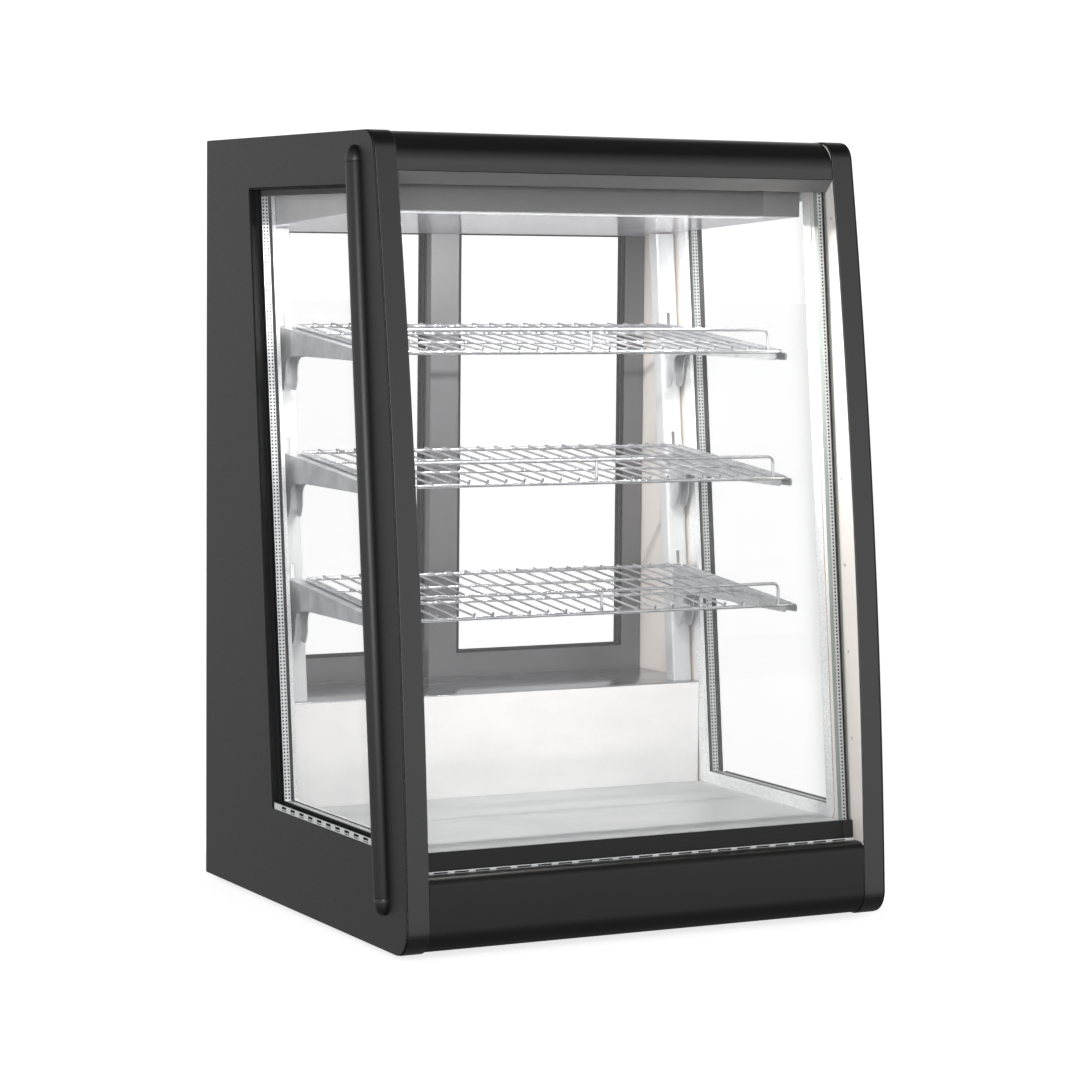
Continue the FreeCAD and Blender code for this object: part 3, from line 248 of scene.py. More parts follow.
# Pale coated channel steel: light grey, smoother and flatter than the brackets.
UPRIGHT = mottled("pale_coated_upright_steel", "#c9cacc", "#dadbdc", (30, 30, 90), (1.2, 1.2, 1.2),
                  (0.3, 0.42), 0.06, 0.03, {"Metallic": 0.35})
# Chromed round wire: bright, with the welds' slight unevenness in its highlights.
CHROME = mottled("bright_chromed_wire", "#c6c7ca", "#e4e5e8", (14, 14, 14), (2.0, 2.0, 2.0), (0.1, 0.2),
                 0.05, 0.03, {"Metallic": 0.9})
# Rolled aluminium fins: dull silver, dusty between the tubes.
COIL = mottled("aluminium_fins", "#9fa1a3", "#c2c4c6", (20, 20, 20), (1.0, 1.0, 3.0), (0.32, 0.5), 0.15,
               0.05, {"Metallic": 0.85})
# Enamelled steel shell of the compressor: glossy black with brush ripples.
CAN = mottled("black_enamelled_steel_can", "#111214", "#1a1b1d", (50, 50, 50), (2.2, 2.2, 2.2),
              (0.3, 0.42), 0.12, 0.06, {})
# Hot-dip galvanised sheet: grey with the broad crystals of the zinc.
GALVANISED = mottled("galvanised_sheet", "#8f9295", "#abaeb1", (16, 16, 16), (3.0, 3.0, 3.0), (0.34, 0.5),
                     0.1, 0.03, {"Metallic": 0.7})
# Glass-filled moulded nylon: very dark grey and slightly chalky.
FAN = mottled("dark_moulded_fan_plastic", "#1c1d1f", "#26272a", (25, 25, 25), (0.9, 0.9, 0.9),
              (0.4, 0.55), 0.12, 0.04, {})
# Cast silicone keys: soft grey, with light going a little way in.
KEY = mottled("grey_silicone_key", "#8d9195", "#9ca0a4", (6, 6, 6), (0.5, 0.5, 0.5), (0.45, 0.6), 0.1,
              0.03, {"Subsurface Weight": 0.05})
# Polished moulded polycarbonate rocker: black with a sharp highlight.
ROCKER = mottled("gloss_black_rocker", "#0c0c0d", "#141415", (8, 8, 8), (0.6, 0.6, 0.6), (0.18, 0.28),
                 0.06, 0.02, {})
# Extruded frosted polycarbonate over the lamp strip: milky, and lit from behind.
LENS = mottled("frosted_polycarbonate", "#f2f4f6", "#fbfbfc", (60, 10, 10), (1.0, 1.0, 1.0), (0.4, 0.55),
               0.1, 0.03, {"Emission Color": (1.0, 0.985, 0.96, 1.0), "Emission Strength": 0.3})
# Black butyl and silicone round the panes: matt and slightly uneven. The same black paints the shade in the
# screws' cross recesses.
SEALANT_AND_RECESS_SHADE = mottled("black_butyl_sealant_and_recess_shade", "#0d0d0e", "#151517", (12, 12, 30), (1.5, 1.5, 1.5), (0.5, 0.65),
                  0.15, 0.08, {})
# Ground edge of float glass: frosted grey with a trace of green.
GLASS_EDGE = mottled("ground_glass_edge", "#88948e", "#9aa5a0", (20, 20, 60), (0.8, 0.8, 0.8),
                     (0.3, 0.45), 0.12, 0.03, {"Transmission Weight": 0.2})
# Smoked acrylic window of the controller, unlit: nearly black with a hint of red.
DISPLAY = mottled("smoked_display_window", "#180b0b", "#221010", (10, 10, 10), (1.0, 1.0, 1.0),
                  (0.08, 0.16), 0.03, 0.01, {"Coat Weight": 0.5})
# Float glass: clear and colourless to look through, with a glint only when seen edge-on.
GLASS = pane_glass("clear_float_glass")
# The same glass in the side windows, with a painted shade: a pale grey laid on what shows through near the
# front edge.
SIDE_GLASS = pane_glass("side_window_float_glass", "#f3f4f3")
# Roll-formed spacer bar: its rows of vent dots are drawn at twice their real pitch, to show, and each dot is
# painted shade for the dark inside the bar.
SPACER = perforated("perforated_spacer_bar", "#dcdedf", "#1e1f20", 4.0, 0.27)


# ---------------------------------------------------------------- shapes

def raked(y_mid, z):
    """Y at height z of a line that leans with the glass and passes y_mid at mid height."""
    return y_mid + (z - MID_Z) * SLOPE


def arc(cy, cz, r, deg0, deg1, count):
    """Points at equal angles on a circle."""
    a = np.radians(np.linspace(deg0, deg1, count))
    return np.c_[cy + r * np.cos(a), cz + r * np.sin(a)]


def rounded(corners, radii, steps=5, closed=True):
    """Corner points replaced by arcs: from a corner both tangent points lie r / tan(half angle)
    away, the centre r / sin(half angle) along the bisector, and the arc turns between them."""
    p = np.array(corners, float)
    r = np.broadcast_to(np.array(radii, float), (len(p),)).reshape(-1, 1)
    u = np.roll(p, 1, 0) - p
    v = np.roll(p, -1, 0) - p
    u /= np.linalg.norm(u, axis=1, keepdims=True)
    v /= np.linalg.norm(v, axis=1, keepdims=True)
    half = np.arccos(np.clip((u * v).sum(1, keepdims=True), -1, 1)) / 2
    bisector = u + v
    bisector /= np.maximum(np.linalg.norm(bisector, axis=1, keepdims=True), 1e-9)
    centre = p + bisector * r / np.sin(half)
    a = p + u * r / np.tan(half) - centre
    b = p + v * r / np.tan(half) - centre
    turn = np.maximum(np.pi - 2 * half, 1e-6)[:, None]
    s = np.linspace(0, 1, steps + 1).reshape(1, -1, 1)
    sweep = np.sin((1 - s) * turn) * a[:, None] + np.sin(s * turn) * b[:, None]
    arcs = centre[:, None] + sweep / np.sin(turn)
    if closed:
        return arcs.reshape(-1, p.shape[1])
    return np.vstack([p[:1], arcs[1:-1].reshape(-1, p.shape[1]), p[-1:]])


def bow_circle():
    """Centre and radius of the circle through the three bow points, from the two equations
    that put its centre at equal distance from them."""
    p = np.array(BOW)
    centre = np.linalg.solve(2 * (p[1:] - p[:1]), (p[1:] ** 2).sum(1) - (p[0] ** 2).sum())
    return centre[0], centre[1], np.hypot(*(p[0] - centre))


def end_outline(inset):
    """Side view of an end frame moved inwards: bowed front, two rounded corners, square rear."""
    yc, zc, bow = bow_circle()
    bow -= inset
    r = np.array([TOP_R, LOW_R]) - inset
    z = np.array([TOP_Z - inset - r[0], FOOT_Z + inset + r[1]])
    y = yc - np.sqrt((bow - r) ** 2 - (z - zc) ** 2)
    turn = np.degrees(np.arctan2(z - zc, y - yc)) % 360
    rear = REAR_Y - inset
    low, high = FOOT_Z + inset, TOP_Z - inset
    ends = rounded([(0, low), (rear, low), (rear, high), (0, high)], 1.2)
    bowed = arc(yc, zc, bow, turn[0], turn[1], 60)[1:-1]
    return np.vstack([arc(y[0], z[0], r[0], 90, turn[0], 14), bowed,
                      arc(y[1], z[1], r[1], turn[1], 270, 14), ends[6:18]])


def window_outline(inset):
    """Leaning side window moved inwards, with small rounded corners."""
    low, high = WINDOW[0] + inset, WINDOW[1] - inset
    rear, front = WINDOW[2] - inset, WINDOW[3] + inset
    corners = [(raked(rear, low), low), (raked(rear, high), high), (raked(front, high), high),
               (raked(front, low), low)]
    return rounded(corners, max(5.0 - inset, 0.8), 5)


def around(points, centre, angles):
    """Where rays from a centre meet a closed outline: each ray is crossed with the outline's
    side whose two ends have the nearest angles below and above it."""
    rel = points - centre
    turn = np.arctan2(rel[:, 1], rel[:, 0])
    order = np.argsort(turn)
    rel, turn = rel[order], turn[order]
    k = np.searchsorted(turn, angles, side="right")
    a, b = rel[(k - 1) % len(rel)], rel[k % len(rel)]
    d = np.c_[np.cos(angles), np.sin(angles)]
    side = b - a
    across = a[:, 0] * side[:, 1] - a[:, 1] * side[:, 0]
    slant = d[:, 0] * side[:, 1] - d[:, 1] * side[:, 0]
    return centre + d * (across / slant)[:, None]


def grid_faces(rows, cols, loop_rows=False, loop_cols=False):
    """Quads of a grid: (i, j) joins (i+1, j), (i+1, j+1) and (i, j+1), round again if it loops."""
    down, along = np.arange(rows - (not loop_rows)), np.arange(cols - (not loop_cols))
    i, j = np.meshgrid(down, along, indexing="ij")
    i2, j2 = (i + 1) % rows, (j + 1) % cols
    return np.stack([i * cols + j, i2 * cols + j, i2 * cols + j2, i * cols + j2], -1).reshape(-1, 4)


def frame_ring(side, rows):
    """Closed ring on one side of the case, whose section is the list of rows (outline points,
    distance from the middle of the case): all outlines are cut by the same rays from the window's
    middle, and neighbouring rows are joined round and round. Returns points, faces and, per face,
    the number of its row."""
    centre = np.array([raked((WINDOW[2] + WINDOW[3]) / 2, 460.0), 460.0])
    turns = [np.arctan2(*(o - centre).T[::-1]) for o, _ in rows]
    angles = np.unique(np.round(np.concatenate(turns), 6))
    loops = [np.c_[np.full(len(angles), side * x), around(o, centre, angles)] for o, x in rows]
    faces = grid_faces(len(rows), len(angles), True, True)
    return np.vstack(loops), faces, np.repeat(np.arange(len(rows)), len(angles))


def ring_between(side, outer, inner, x0, x1):
    """Ring from one outline to another between two distances from the middle of the case."""
    return frame_ring(side, [(outer, x0), (outer, x1), (inner, x1), (inner, x0)])


def prism(first, last):
    """Solid between two outlines in space with the same number of points: a side face from each
    edge of the first to the same edge of the last, and the two outlines as end faces."""
    n = len(first)
    ends = [list(range(n)), list(range(n, 2 * n))]
    return np.vstack([first, last]), grid_faces(2, n, False, True).tolist() + ends


def bar(profile, x0, x1):
    """Prism along X on a (y, z) profile."""
    p = np.array(profile, float)
    return prism(*(np.c_[np.full(len(p), x), p] for x in (x0, x1)))


def block(x0, x1, y0, y1, z0, z1):
    """Rectangular bar between two corners."""
    return bar([(y0, z0), (y1, z0), (y1, z1), (y0, z1)], x0, x1)


def cross_bar(profile, y0, y1):
    """Prism along Y on an (x, z) profile."""
    p = np.array(profile, float)
    return prism(*(np.c_[p[:, 0], np.full(len(p), y), p[:, 1]] for y in (y0, y1)))


def leaning_bar(profile, z0, z1, y_mid):
    """Prism on an (x, y) profile that rises from z0 to z1 and leans with the glass."""
    p = np.array(profile, float)
    return prism(*(np.c_[p[:, 0], p[:, 1] + raked(y_mid, z), np.full(len(p), z)] for z in (z0, z1)))


def tube(path, radius, reference=(0, 0, 1), sides=10, loop=False):
    """Round wire along a flat path: at each point a circle in the plane of the path's side
    direction (tangent x reference) and the reference's own part across the tangent."""
    p = np.array(path, float)
    ahead = np.roll(p, -1, 0) - np.roll(p, 1, 0)
    if not loop:
        ahead[0], ahead[-1] = p[1] - p[0], p[-1] - p[-2]
    ahead /= np.linalg.norm(ahead, axis=1, keepdims=True)
    side = np.cross(ahead, np.array(reference, float))
    side /= np.linalg.norm(side, axis=1, keepdims=True)
    other = np.cross(ahead, side)
    a = np.linspace(0, 2 * np.pi, sides, endpoint=False).reshape(1, -1, 1)
    r = np.broadcast_to(np.array(radius, float), (len(p),)).reshape(-1, 1, 1)
    points = p[:, None] + r * (np.cos(a) * side[:, None] + np.sin(a) * other[:, None])
    faces = grid_faces(len(p), sides, loop, True).tolist()
    if not loop:
        faces += [list(range(sides)), list(range((len(p) - 1) * sides, len(p) * sides))]
    return points.reshape(-1, 3), faces


def holed_plate(us, vs, keep, thickness, place):
    """Plate of grid cells, some of them open: front and back faces where a cell is kept, and a
    wall wherever a kept cell meets an open one or the border. place maps u, v, depth to x, y, z."""
    us, vs = np.array(us, float), np.array(vs, float)
    keep = np.array(keep, bool)
    u, v = np.meshgrid(us, vs, indexing="ij")
    w = np.stack([np.zeros_like(u), np.full_like(u, thickness)])
    points = np.stack(place(np.stack([u, u]), np.stack([v, v]), w), -1).reshape(-1, 3)
    index = np.arange(w.size).reshape(w.shape)
    corners = [index[:, :-1, :-1], index[:, 1:, :-1], index[:, 1:, 1:], index[:, :-1, 1:]]
    faces = [np.stack([c[0][keep] for c in corners], -1), np.stack([c[1][keep] for c in corners], -1)]
    padded = np.pad(keep, 1)
    for along, a, b in ((0, (0, 0), (0, 1)), (1, (0, 0), (1, 0))):
        first = padded[:-1, 1:-1] if along == 0 else padded[1:-1, :-1]
        second = padded[1:, 1:-1] if along == 0 else padded[1:-1, 1:]
        i, j = np.nonzero(first != second)
        start, end = (i + a[0], j + a[1]), (i + b[0], j + b[1])
        wall = [index[0][start], index[0][end], index[1][end], index[1][start]]
        faces.append(np.stack(wall, -1))
    return points, np.vstack(faces).tolist()


def sleeve(outer, inner, y0, y1):
    """Closed ring between two (x, z) outlines with equal numbers of points, from y0 to y1."""
    outer, inner = np.array(outer, float), np.array(inner, float)
    loops = [(outer, y0), (outer, y1), (inner, y1), (inner, y0)]
    points = [np.c_[loop[:, 0], np.full(len(loop), y), loop[:, 1]] for loop, y in loops]
    return np.vstack(points), grid_faces(4, len(outer), True, True)


def plate_outline(x, z, half_w, half_h, radius, steps=5):
    """Rounded rectangle round a place on the rear panel, as (x, z) points."""
    x0, x1, z0, z1 = x - half_w, x + half_w, z - half_h, z + half_h
    return rounded([(x0, z0), (x1, z0), (x1, z1), (x0, z1)], radius, steps)


def pierced(outline, centre, radius, y0, y1):
    """Plate with a round hole: rays from the hole's centre at even angles, and through each
    corner, meet the outline outside and the circle inside."""
    centre = np.array(centre, float)
    rel = outline - centre
    even, corners = np.linspace(-np.pi, np.pi, 33)[:-1], np.arctan2(rel[:, 1], rel[:, 0])
    angles = np.unique(np.round(np.r_[even, corners], 6))
    circle = centre + radius * np.c_[np.cos(angles), np.sin(angles)]
    return sleeve(around(outline, centre, angles), circle, y0, y1)


def turned(profile, at, axis, count=20):
    """Solid of revolution about X, Y or Z: each profile row, a radius and a height, becomes a
    circle round the axis at that height from a place."""
    p = np.array(profile, float)
    axis = np.array(axis, float)
    u = np.roll(axis, 1)
    a = np.linspace(0, 2 * np.pi, count, endpoint=False)[:, None]
    ring = np.cos(a) * u + np.sin(a) * np.cross(axis, u)
    points = np.array(at, float) + p[:, None, :1] * ring + p[:, None, 1:] * axis
    ends = [list(range(count)), list(range((len(p) - 1) * count, len(p) * count))]
    return points.reshape(-1, 3), grid_faces(len(p), count, False, True).tolist() + ends


def half_round(side, s, radius):
    """Half-round bar on a side cover: at each distance s along the raked axis a half circle of
    the given radius stands out from the cover, and its flat back closes it."""
    a = np.radians(np.linspace(-90, 90, 25))
    s, a = np.meshgrid(s, a, indexing="ij")
    r = np.broadcast_to(np.array(radius, float).reshape(-1, 1), s.shape)
    across = r * np.sin(a)
    x = side * (SIDE_X + r * np.cos(a))
    y = TRIM_Y + s * math.sin(LEAN) + across * math.cos(LEAN)
    z = MID_Z + s * math.cos(LEAN) - across * math.sin(LEAN)
    rows, cols = s.shape
    ends = [list(range(cols)), list(range((rows - 1) * cols, rows * cols))]
    return np.stack([x, y, z], -1).reshape(-1, 3), grid_faces(rows, cols, False, True).tolist() + ends


def make_piece(name, shells, materials, body="cabinet", nodes=(), bevel=0.0, steps=2,
               sharp=35.0):
    """One mesh piece from shells in millimetres. A shell is points, faces and, if it has them,
    a material number for each face or for all."""
    points, faces, numbers, start = [], [], [], 0
    for shell in shells:
        number = shell[2] if len(shell) > 2 else np.zeros(len(shell[1]), int)
        rows = shell[1].tolist() if isinstance(shell[1], np.ndarray) else shell[1]
        faces += [[i + start for i in row] for row in rows]
        points.append(np.array(shell[0], float))
        numbers.append(np.broadcast_to(np.array(number), (len(rows),)))
        start += len(shell[0])
    mesh = bpy.data.meshes.new(name)
    mesh.from_pydata((np.vstack(points) / 1000).tolist(), [], faces)
    for material in materials:
        mesh.materials.append(material)
    mesh.polygons.foreach_set("material_index", np.concatenate(numbers).astype(np.int32))
    mesh.update()
    work = bmesh.new()
    work.from_mesh(mesh)
    bmesh.ops.recalc_face_normals(work, faces=work.faces)
    work.to_mesh(mesh)
    work.free()
    mesh.polygons.foreach_set("use_smooth", np.ones(len(mesh.polygons), bool))
    mesh.set_sharp_from_angle(angle=math.radians(sharp))
    piece = bpy.data.objects.new(name, mesh)
    bpy.context.scene.collection.objects.link(piece)
    if bevel:
        edge = piece.modifiers.new("rounded_edges", "BEVEL")
        edge.width = bevel / 1000
        edge.segments = steps
        edge.limit_method = "ANGLE"
        edge.angle_limit = math.radians(sharp)
        edge.harden_normals = True
    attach(piece, body)
    if nodes:
        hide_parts(*nodes)
    return piece


# ---------------------------------------------------------------- end frames and windows

SIDES = ((-1, "left"), (1, "right"))
PANE_X = (292.0, 280.0)   # outer faces of a side window's two panes
GAP_X = (288.0, 280.0)

for side, word in SIDES:
    cover = ring_between(side, end_outline(0.5), window_outline(0), SIDE_X, SIDE_X - 1.8)
    make_piece(word + "_cover_sheet", [cover[:2]], [GRAPHITE], nodes=[word + "_side_cover"],
               bevel=0.7, steps=3)
    core = ring_between(side, end_outline(2.6), window_outline(0.02), SIDE_X - 2, INNER_X)
    make_piece(word + "_frame_core", [core[:2]], [CREAM], nodes=[word + "_end_frame"])
    band = ring_between(side, end_outline(0), end_outline(2.4), SIDE_X - 2.4, INNER_X)
    make_piece(word + "_rim_band", [band[:2]], [BAND], nodes=[word + "_edge_band"],
               bevel=0.9, steps=3)
    low, high = TRIM_Z[0] - MID_Z, TRIM_Z[1] - MID_Z
    rod = half_round(side, [low, low + 0.5, low + 0.9, high - 0.9, high - 0.5, high],
                     TRIM_R - np.array([0.7, 0.1, 0, 0, 0.1, 0.7]))
    make_piece(word + "_trim_rod", [rod], [TRIM], nodes=[word + "_trim_bar"])

# each cap rounds off as a quarter ellipse with a blunt nose
caps = []
quarter = np.linspace(0, np.pi / 2, 14)
cap_radius = TRIM_R * np.maximum(np.cos(quarter), 0.02) ** 0.8
cap_radius[0] = TRIM_R - 0.6
for side, word in SIDES:
    for end, way in zip(TRIM_Z, (-1, 1)):
        caps.append(half_round(side, end - MID_Z + way * 18.5 * np.sin(quarter), cap_radius))
make_piece("trim_rod_caps", caps, [TRIM], nodes=["trim_end_caps"])

# window unit from outside to inside: reveal gasket, panes with their spacer, bright frame
gaskets, spacers, frames = [], [], []
for side, word in SIDES:
    gaskets.append(ring_between(side, window_outline(0.05), window_outline(2), SIDE_X - 1.1, 292.1)[:2])
    points, faces, row = ring_between(side, window_outline(3), window_outline(9), *GAP_X)
    spacers.append((points, faces, np.array([0, 2, 1, 0])[row]))
    seal = ring_between(side, window_outline(0.4), window_outline(3), *GAP_X)
    spacers.append((*seal[:2], 0))
    points, faces, row = frame_ring(side, [(window_outline(0.3), 275.9), (window_outline(9), 275.9),
                                           (window_outline(9), 271.0), (window_outline(-7), 271.0),
                                           (window_outline(-7), 272.4), (window_outline(0.3), 272.4)])
    frames.append((points, faces, (row == 0).astype(int)))
make_piece("window_reveal_gaskets", gaskets, [RUBBER_AND_VENT_SHADE], nodes=["window_gaskets"],
           bevel=0.5)
make_piece("window_bright_frames", frames, [BRIGHT, SEALANT_AND_RECESS_SHADE], nodes=["window_inner_frames"],
           bevel=0.5)

for side, word in SIDES:
    panes = []
    for x in PANE_X:
        points, faces = bar(window_outline(0.35), side * x, side * (x - PANE))
        panes.append((points, faces, np.r_[np.ones(len(faces) - 2, int), 0, 0]))
    make_piece(word + "_window_glass", panes, [SIDE_GLASS, SEALANT_AND_RECESS_SHADE], nodes=[word + "_window_panes"],
               bevel=0.4, steps=1)


def strip_map(piece):
    """Strip map of punched faces: along runs the height on upright faces and the depth on level
    ones, and across runs the distance from the middle of the case on faces that aren't sideways."""
    mesh = piece.data
    layer = mesh.uv_layers.new(name="strip")
    corner = np.zeros(len(mesh.loops), np.int32)
    mesh.loops.foreach_get("vertex_index", corner)
    co = np.zeros(len(mesh.vertices) * 3)
    mesh.vertices.foreach_get("co", co)
    normal = np.zeros(len(mesh.polygons) * 3)
    mesh.polygons.foreach_get("normal", normal)
    total = np.zeros(len(mesh.polygons), np.int32)
    mesh.polygons.foreach_get("loop_total", total)
    facing = np.abs(np.repeat(normal.reshape(-1, 3), total, 0))
    at = co.reshape(-1, 3)[corner]
    run = np.where(facing[:, 2] < 0.5, at[:, 2], at[:, 1])
    uv = np.c_[run, np.abs(at[:, 0]) * (facing[:, 0] < 0.5)]
    layer.data.foreach_set("uv", uv.astype(np.float32).ravel())


def front_ring(x, z0, z1, y0, y1, width):
    """Rectangular ring between the front panes: four corners outside and four inside, at the
    front and the rear of the gap, all leaning with the glass."""
    loops = []
    for inset, y in ((0, y0), (0, y1), (width, y1), (width, y0)):
        left, low, right, high = inset - x, z0 + inset, x - inset, z1 - inset
        corners = ((left, low), (right, low), (right, high), (left, high))
        loops.append([(px, raked(y, pz), pz) for px, pz in corners])
    return np.array(loops).reshape(-1, 3), grid_faces(4, 4, True, True)


front_gap = GLASS_Y + PANE, GLASS_Y + PANE + GAP
points, faces = front_ring(268.8, GLASS_Z[0] + 3, GLASS_Z[1] - 3, *front_gap, 6.0)
spacers.append((points, faces, np.repeat([0, 2, 2, 1], 4)))
points, faces = front_ring(271.7, GLASS_Z[0] + 0.2, GLASS_Z[1] - 0.2, *front_gap, 2.8)
spacers.append((points, faces, 0))
strip_map(make_piece("punched_spacer_bars", spacers, [SEALANT_AND_RECESS_SHADE, SPACER, GLASS_EDGE],
                     nodes=["glazing_spacers"]))

panes = []
for y in (GLASS_Y, GLASS_Y + PANE + GAP):
    corners = [(y, GLASS_Z[0]), (y + PANE, GLASS_Z[0]), (y + PANE, GLASS_Z[1]), (y, GLASS_Z[1])]
    points, faces = bar([(raked(py, pz), pz) for py, pz in corners], -271.8, 271.8)
    panes.append((points, faces, [1, 0, 1, 0, 1, 1]))
make_piece("front_unit_glass", panes, [GLASS, GLASS_EDGE], nodes=["front_glass_panes"],
           bevel=0.5, steps=1)


def slotted_strip(length0, length1, width, margin, slot_run, place, thickness):
    """Strip with a row of slots at the vent pitch: cells alternate solid and open along it, and
    the two outer rows stay solid."""
    count = int((length1 - length0 - 14) / SLOT_PITCH)
    middle = (length0 + length1) / 2
    starts = middle + (np.arange(count) - count / 2) * SLOT_PITCH + (SLOT_PITCH - slot_run) / 2
    us = np.r_[length0, np.stack([starts, starts + slot_run], 1).ravel(), length1]
    keep = np.ones((len(us) - 1, 3), bool)
    keep[1::2, 1] = False
    return holed_plate(us, [0, margin, width - margin, width], keep, thickness, place)


# a standing slotted strip in front of a lying one, with a dark sheet between them that paints the shade seen
# through the slots
sills = []
sill_z = WINDOW[0] + 0.3
sill_span = raked(WINDOW[3], sill_z) + 6, raked(WINDOW[2], sill_z) - 6
for side, word in SIDES:
    sills.append(slotted_strip(*sill_span, 7.4, 1.2, 13.0,
                               lambda u, v, w: (side * (299.2 + w), u, sill_z + v), 0.6))
    sills.append(slotted_strip(*sill_span, 7.2, 1.6, 16.0,
                               lambda u, v, w: (side * (299.0 - v), u, sill_z + 1.8 + w), 1.2))
    # dark backing: painted shade behind the slots
    sills.append((*block(side * 297.4, side * 298.8, *sill_span, sill_z + 0.2, sill_z + 6.6), 1))
make_piece("window_sill_vents", sills, [BRIGHT, RUBBER_AND_VENT_SHADE], nodes=["side_vent_strips"],
           bevel=0.2)

# ---------------------------------------------------------------- front

profile = np.vstack([arc(-271.2, 80.0, 11.0, 90, 180, 10), arc(-257.6, 33.5, 26.0, 180, 270, 16),
                     [(-225.0, 7.5), (-225.0, 10.5)], arc(-257.6, 33.5, 23.0, 270, 180, 16),
                     arc(-271.2, 80.0, 8.0, 180, 90, 10), [(-264.0, 88.0), (-264.0, 91.0)]])
make_piece("front_bullnose", [bar(profile, -INFILL_X, INFILL_X)], [GRAPHITE], nodes=["lower_fascia"],
           bevel=0.5, steps=2, sharp=50)

rail_front, rail_rear = GLASS_Y - 0.3 - 2.5, GLASS_Y + 16 + 0.3


def rail_profile(proud):
    """U-section under the front glass: tall outer lip, seat for the unit and low inner lip."""
    lo, hi, seat = 92.0, 113.0, GLASS_Z[0] - 0.3
    pts = [(rail_front - proud, lo), (rail_rear + 2, lo), (rail_rear + 2, hi - 4), (rail_rear, hi - 4),
           (rail_rear, seat), (GLASS_Y - 0.3, seat), (GLASS_Y - 0.3, hi), (rail_front - proud, hi)]
    return [(raked(y, z), z) for y, z in pts]


make_piece("front_glazing_rail", [bar(rail_profile(0), -259.8, 259.8)], [RAIL], nodes=["front_glass_rail"],
           bevel=0.5)
blocks = [bar(rail_profile(0.6), side * 260.0, side * INNER_X) for side in (-1, 1)]
make_piece("front_rail_blocks", blocks, [ABS_BLACK], nodes=["rail_end_blocks"],
           bevel=0.8, steps=3)
# lying strip with slots, a slotted edge that stands at its front, and a stud between slots
vent_front = -264.0
vent_rear = raked(rail_front, 92.0) - 0.9
strip = slotted_strip(-LINER_X, LINER_X, vent_rear - vent_front, 1.3, 17.0,
                      lambda u, v, w: (u, vent_front + v, 89.0 + w), 1.4)
edge = slotted_strip(-LINER_X, LINER_X, 3.4, 0.9, 17.0,
                     lambda u, v, w: (u, vent_front + 0.8 + w, 90.3 + v), 0.8)
count = int((2 * LINER_X - 14) / SLOT_PITCH) + 1
stud_x = (np.arange(count) - (count - 1) / 2) * SLOT_PITCH
studs = [cross_bar(plate_outline(x, 92.1, 1.3, 1.3, 1.29, 3), vent_front - 0.2, vent_front + 1)
         for x in stud_x]
make_piece("front_slot_strip", [(*strip, 0), (*edge, 1)] + [(*stud, 1) for stud in studs], [RAIL, BRIGHT],
           nodes=["front_vent_strip"], bevel=0.25)

# ---------------------------------------------------------------- top

profile = np.vstack([[(-100.0, 880.5)], arc(-155.5, 845.5, 35.0, 90, 180, 22),
                     [(-191.3, 837.5), (-188.3, 837.5)], arc(-155.5, 845.5, 32.0, 180, 90, 22),
                     [(-100.0, 877.5)]])
make_piece("canopy_bullnose", [bar(profile, -INFILL_X, INFILL_X)], [BAND], nodes=["canopy"],
           bevel=0.5, sharp=50)
profile = [(-191.3, 837.2), (-178.6, 823.4), (-178.2, 827.0), (-188.3, 837.2)]
make_piece("canopy_grey_lip", [bar(profile, -INFILL_X, INFILL_X)], [LIP], nodes=["canopy_lip"],
           bevel=0.5)
make_piece("roof_sheet", [block(-INFILL_X, INFILL_X, -99.6, 278.8, 879.0, 880.5)], [GRAPHITE],
           nodes=["roof_panel"], bevel=0.5)


def ceiling_z(y):
    """Height of the ceiling's underside, which falls towards the rear."""
    return 796.0 - (y + 123.0) * 0.0587


def ceiling_shells():
    """Folded light box: front and rear faces, two ends, and an underside with the lamp window."""
    x, t, high = LINER_X, 1.5, 877.4
    front = bar(rounded([(-123.0, 796.0), (-121.5, 796.0), (-121.5, high), (-123.0, high)], 0.4, 2), -x, x)
    rear = bar([(236.5, ceiling_z(236.5)), (238.0, ceiling_z(238.0)), (238.0, high), (236.5, high)], -x, x)
    profile = [(-121.4, ceiling_z(-121.4) + 1), (236.4, ceiling_z(236.4) + 1), (236.4, high), (-121.4, high)]
    ends = [bar(profile, side * x, side * (x - t)) for side in (-1, 1)]
    keep = np.ones((3, 3), bool)
    keep[1, 1] = False
    under = holed_plate([-x, -235, 235, x], [-122.4, -112, -84, 237.5], keep, t,
                        lambda u, v, w: (u, v, ceiling_z(v) + w))
    return [(*front, 0), (*rear, 0), (*ends[0], 0), (*ends[1], 0), (*under, 1)]


make_piece("ceiling_light_box", ceiling_shells(), [CEILING, GLOSS_WHITE], nodes=["ceiling_box"],
           bevel=0.4)
profile = [(-111.7, ceiling_z(-111.7) + 0.2), (-84.3, ceiling_z(-84.3) + 0.2), (-84.3, 800.0),
           (-111.7, 800.0)]
make_piece("lamp_diffuser", [bar(rounded(profile, 0.8, 3), -234.7, 234.7)], [LENS], nodes=["light_lens"],
           bevel=0.3)
plate = [block(222.0, LINER_X, -124.0, -123.0, 796.2, 877.4)]
plate += [cross_bar(plate_outline(x, 802, 2, 2, 1.9, 4), -124.6, -124.0) for x in (228, 264)]
make_piece("lamp_driver_plate", plate, [LIP], nodes=["driver_cover"], bevel=0.3)

# ---------------------------------------------------------------- display floor and rear

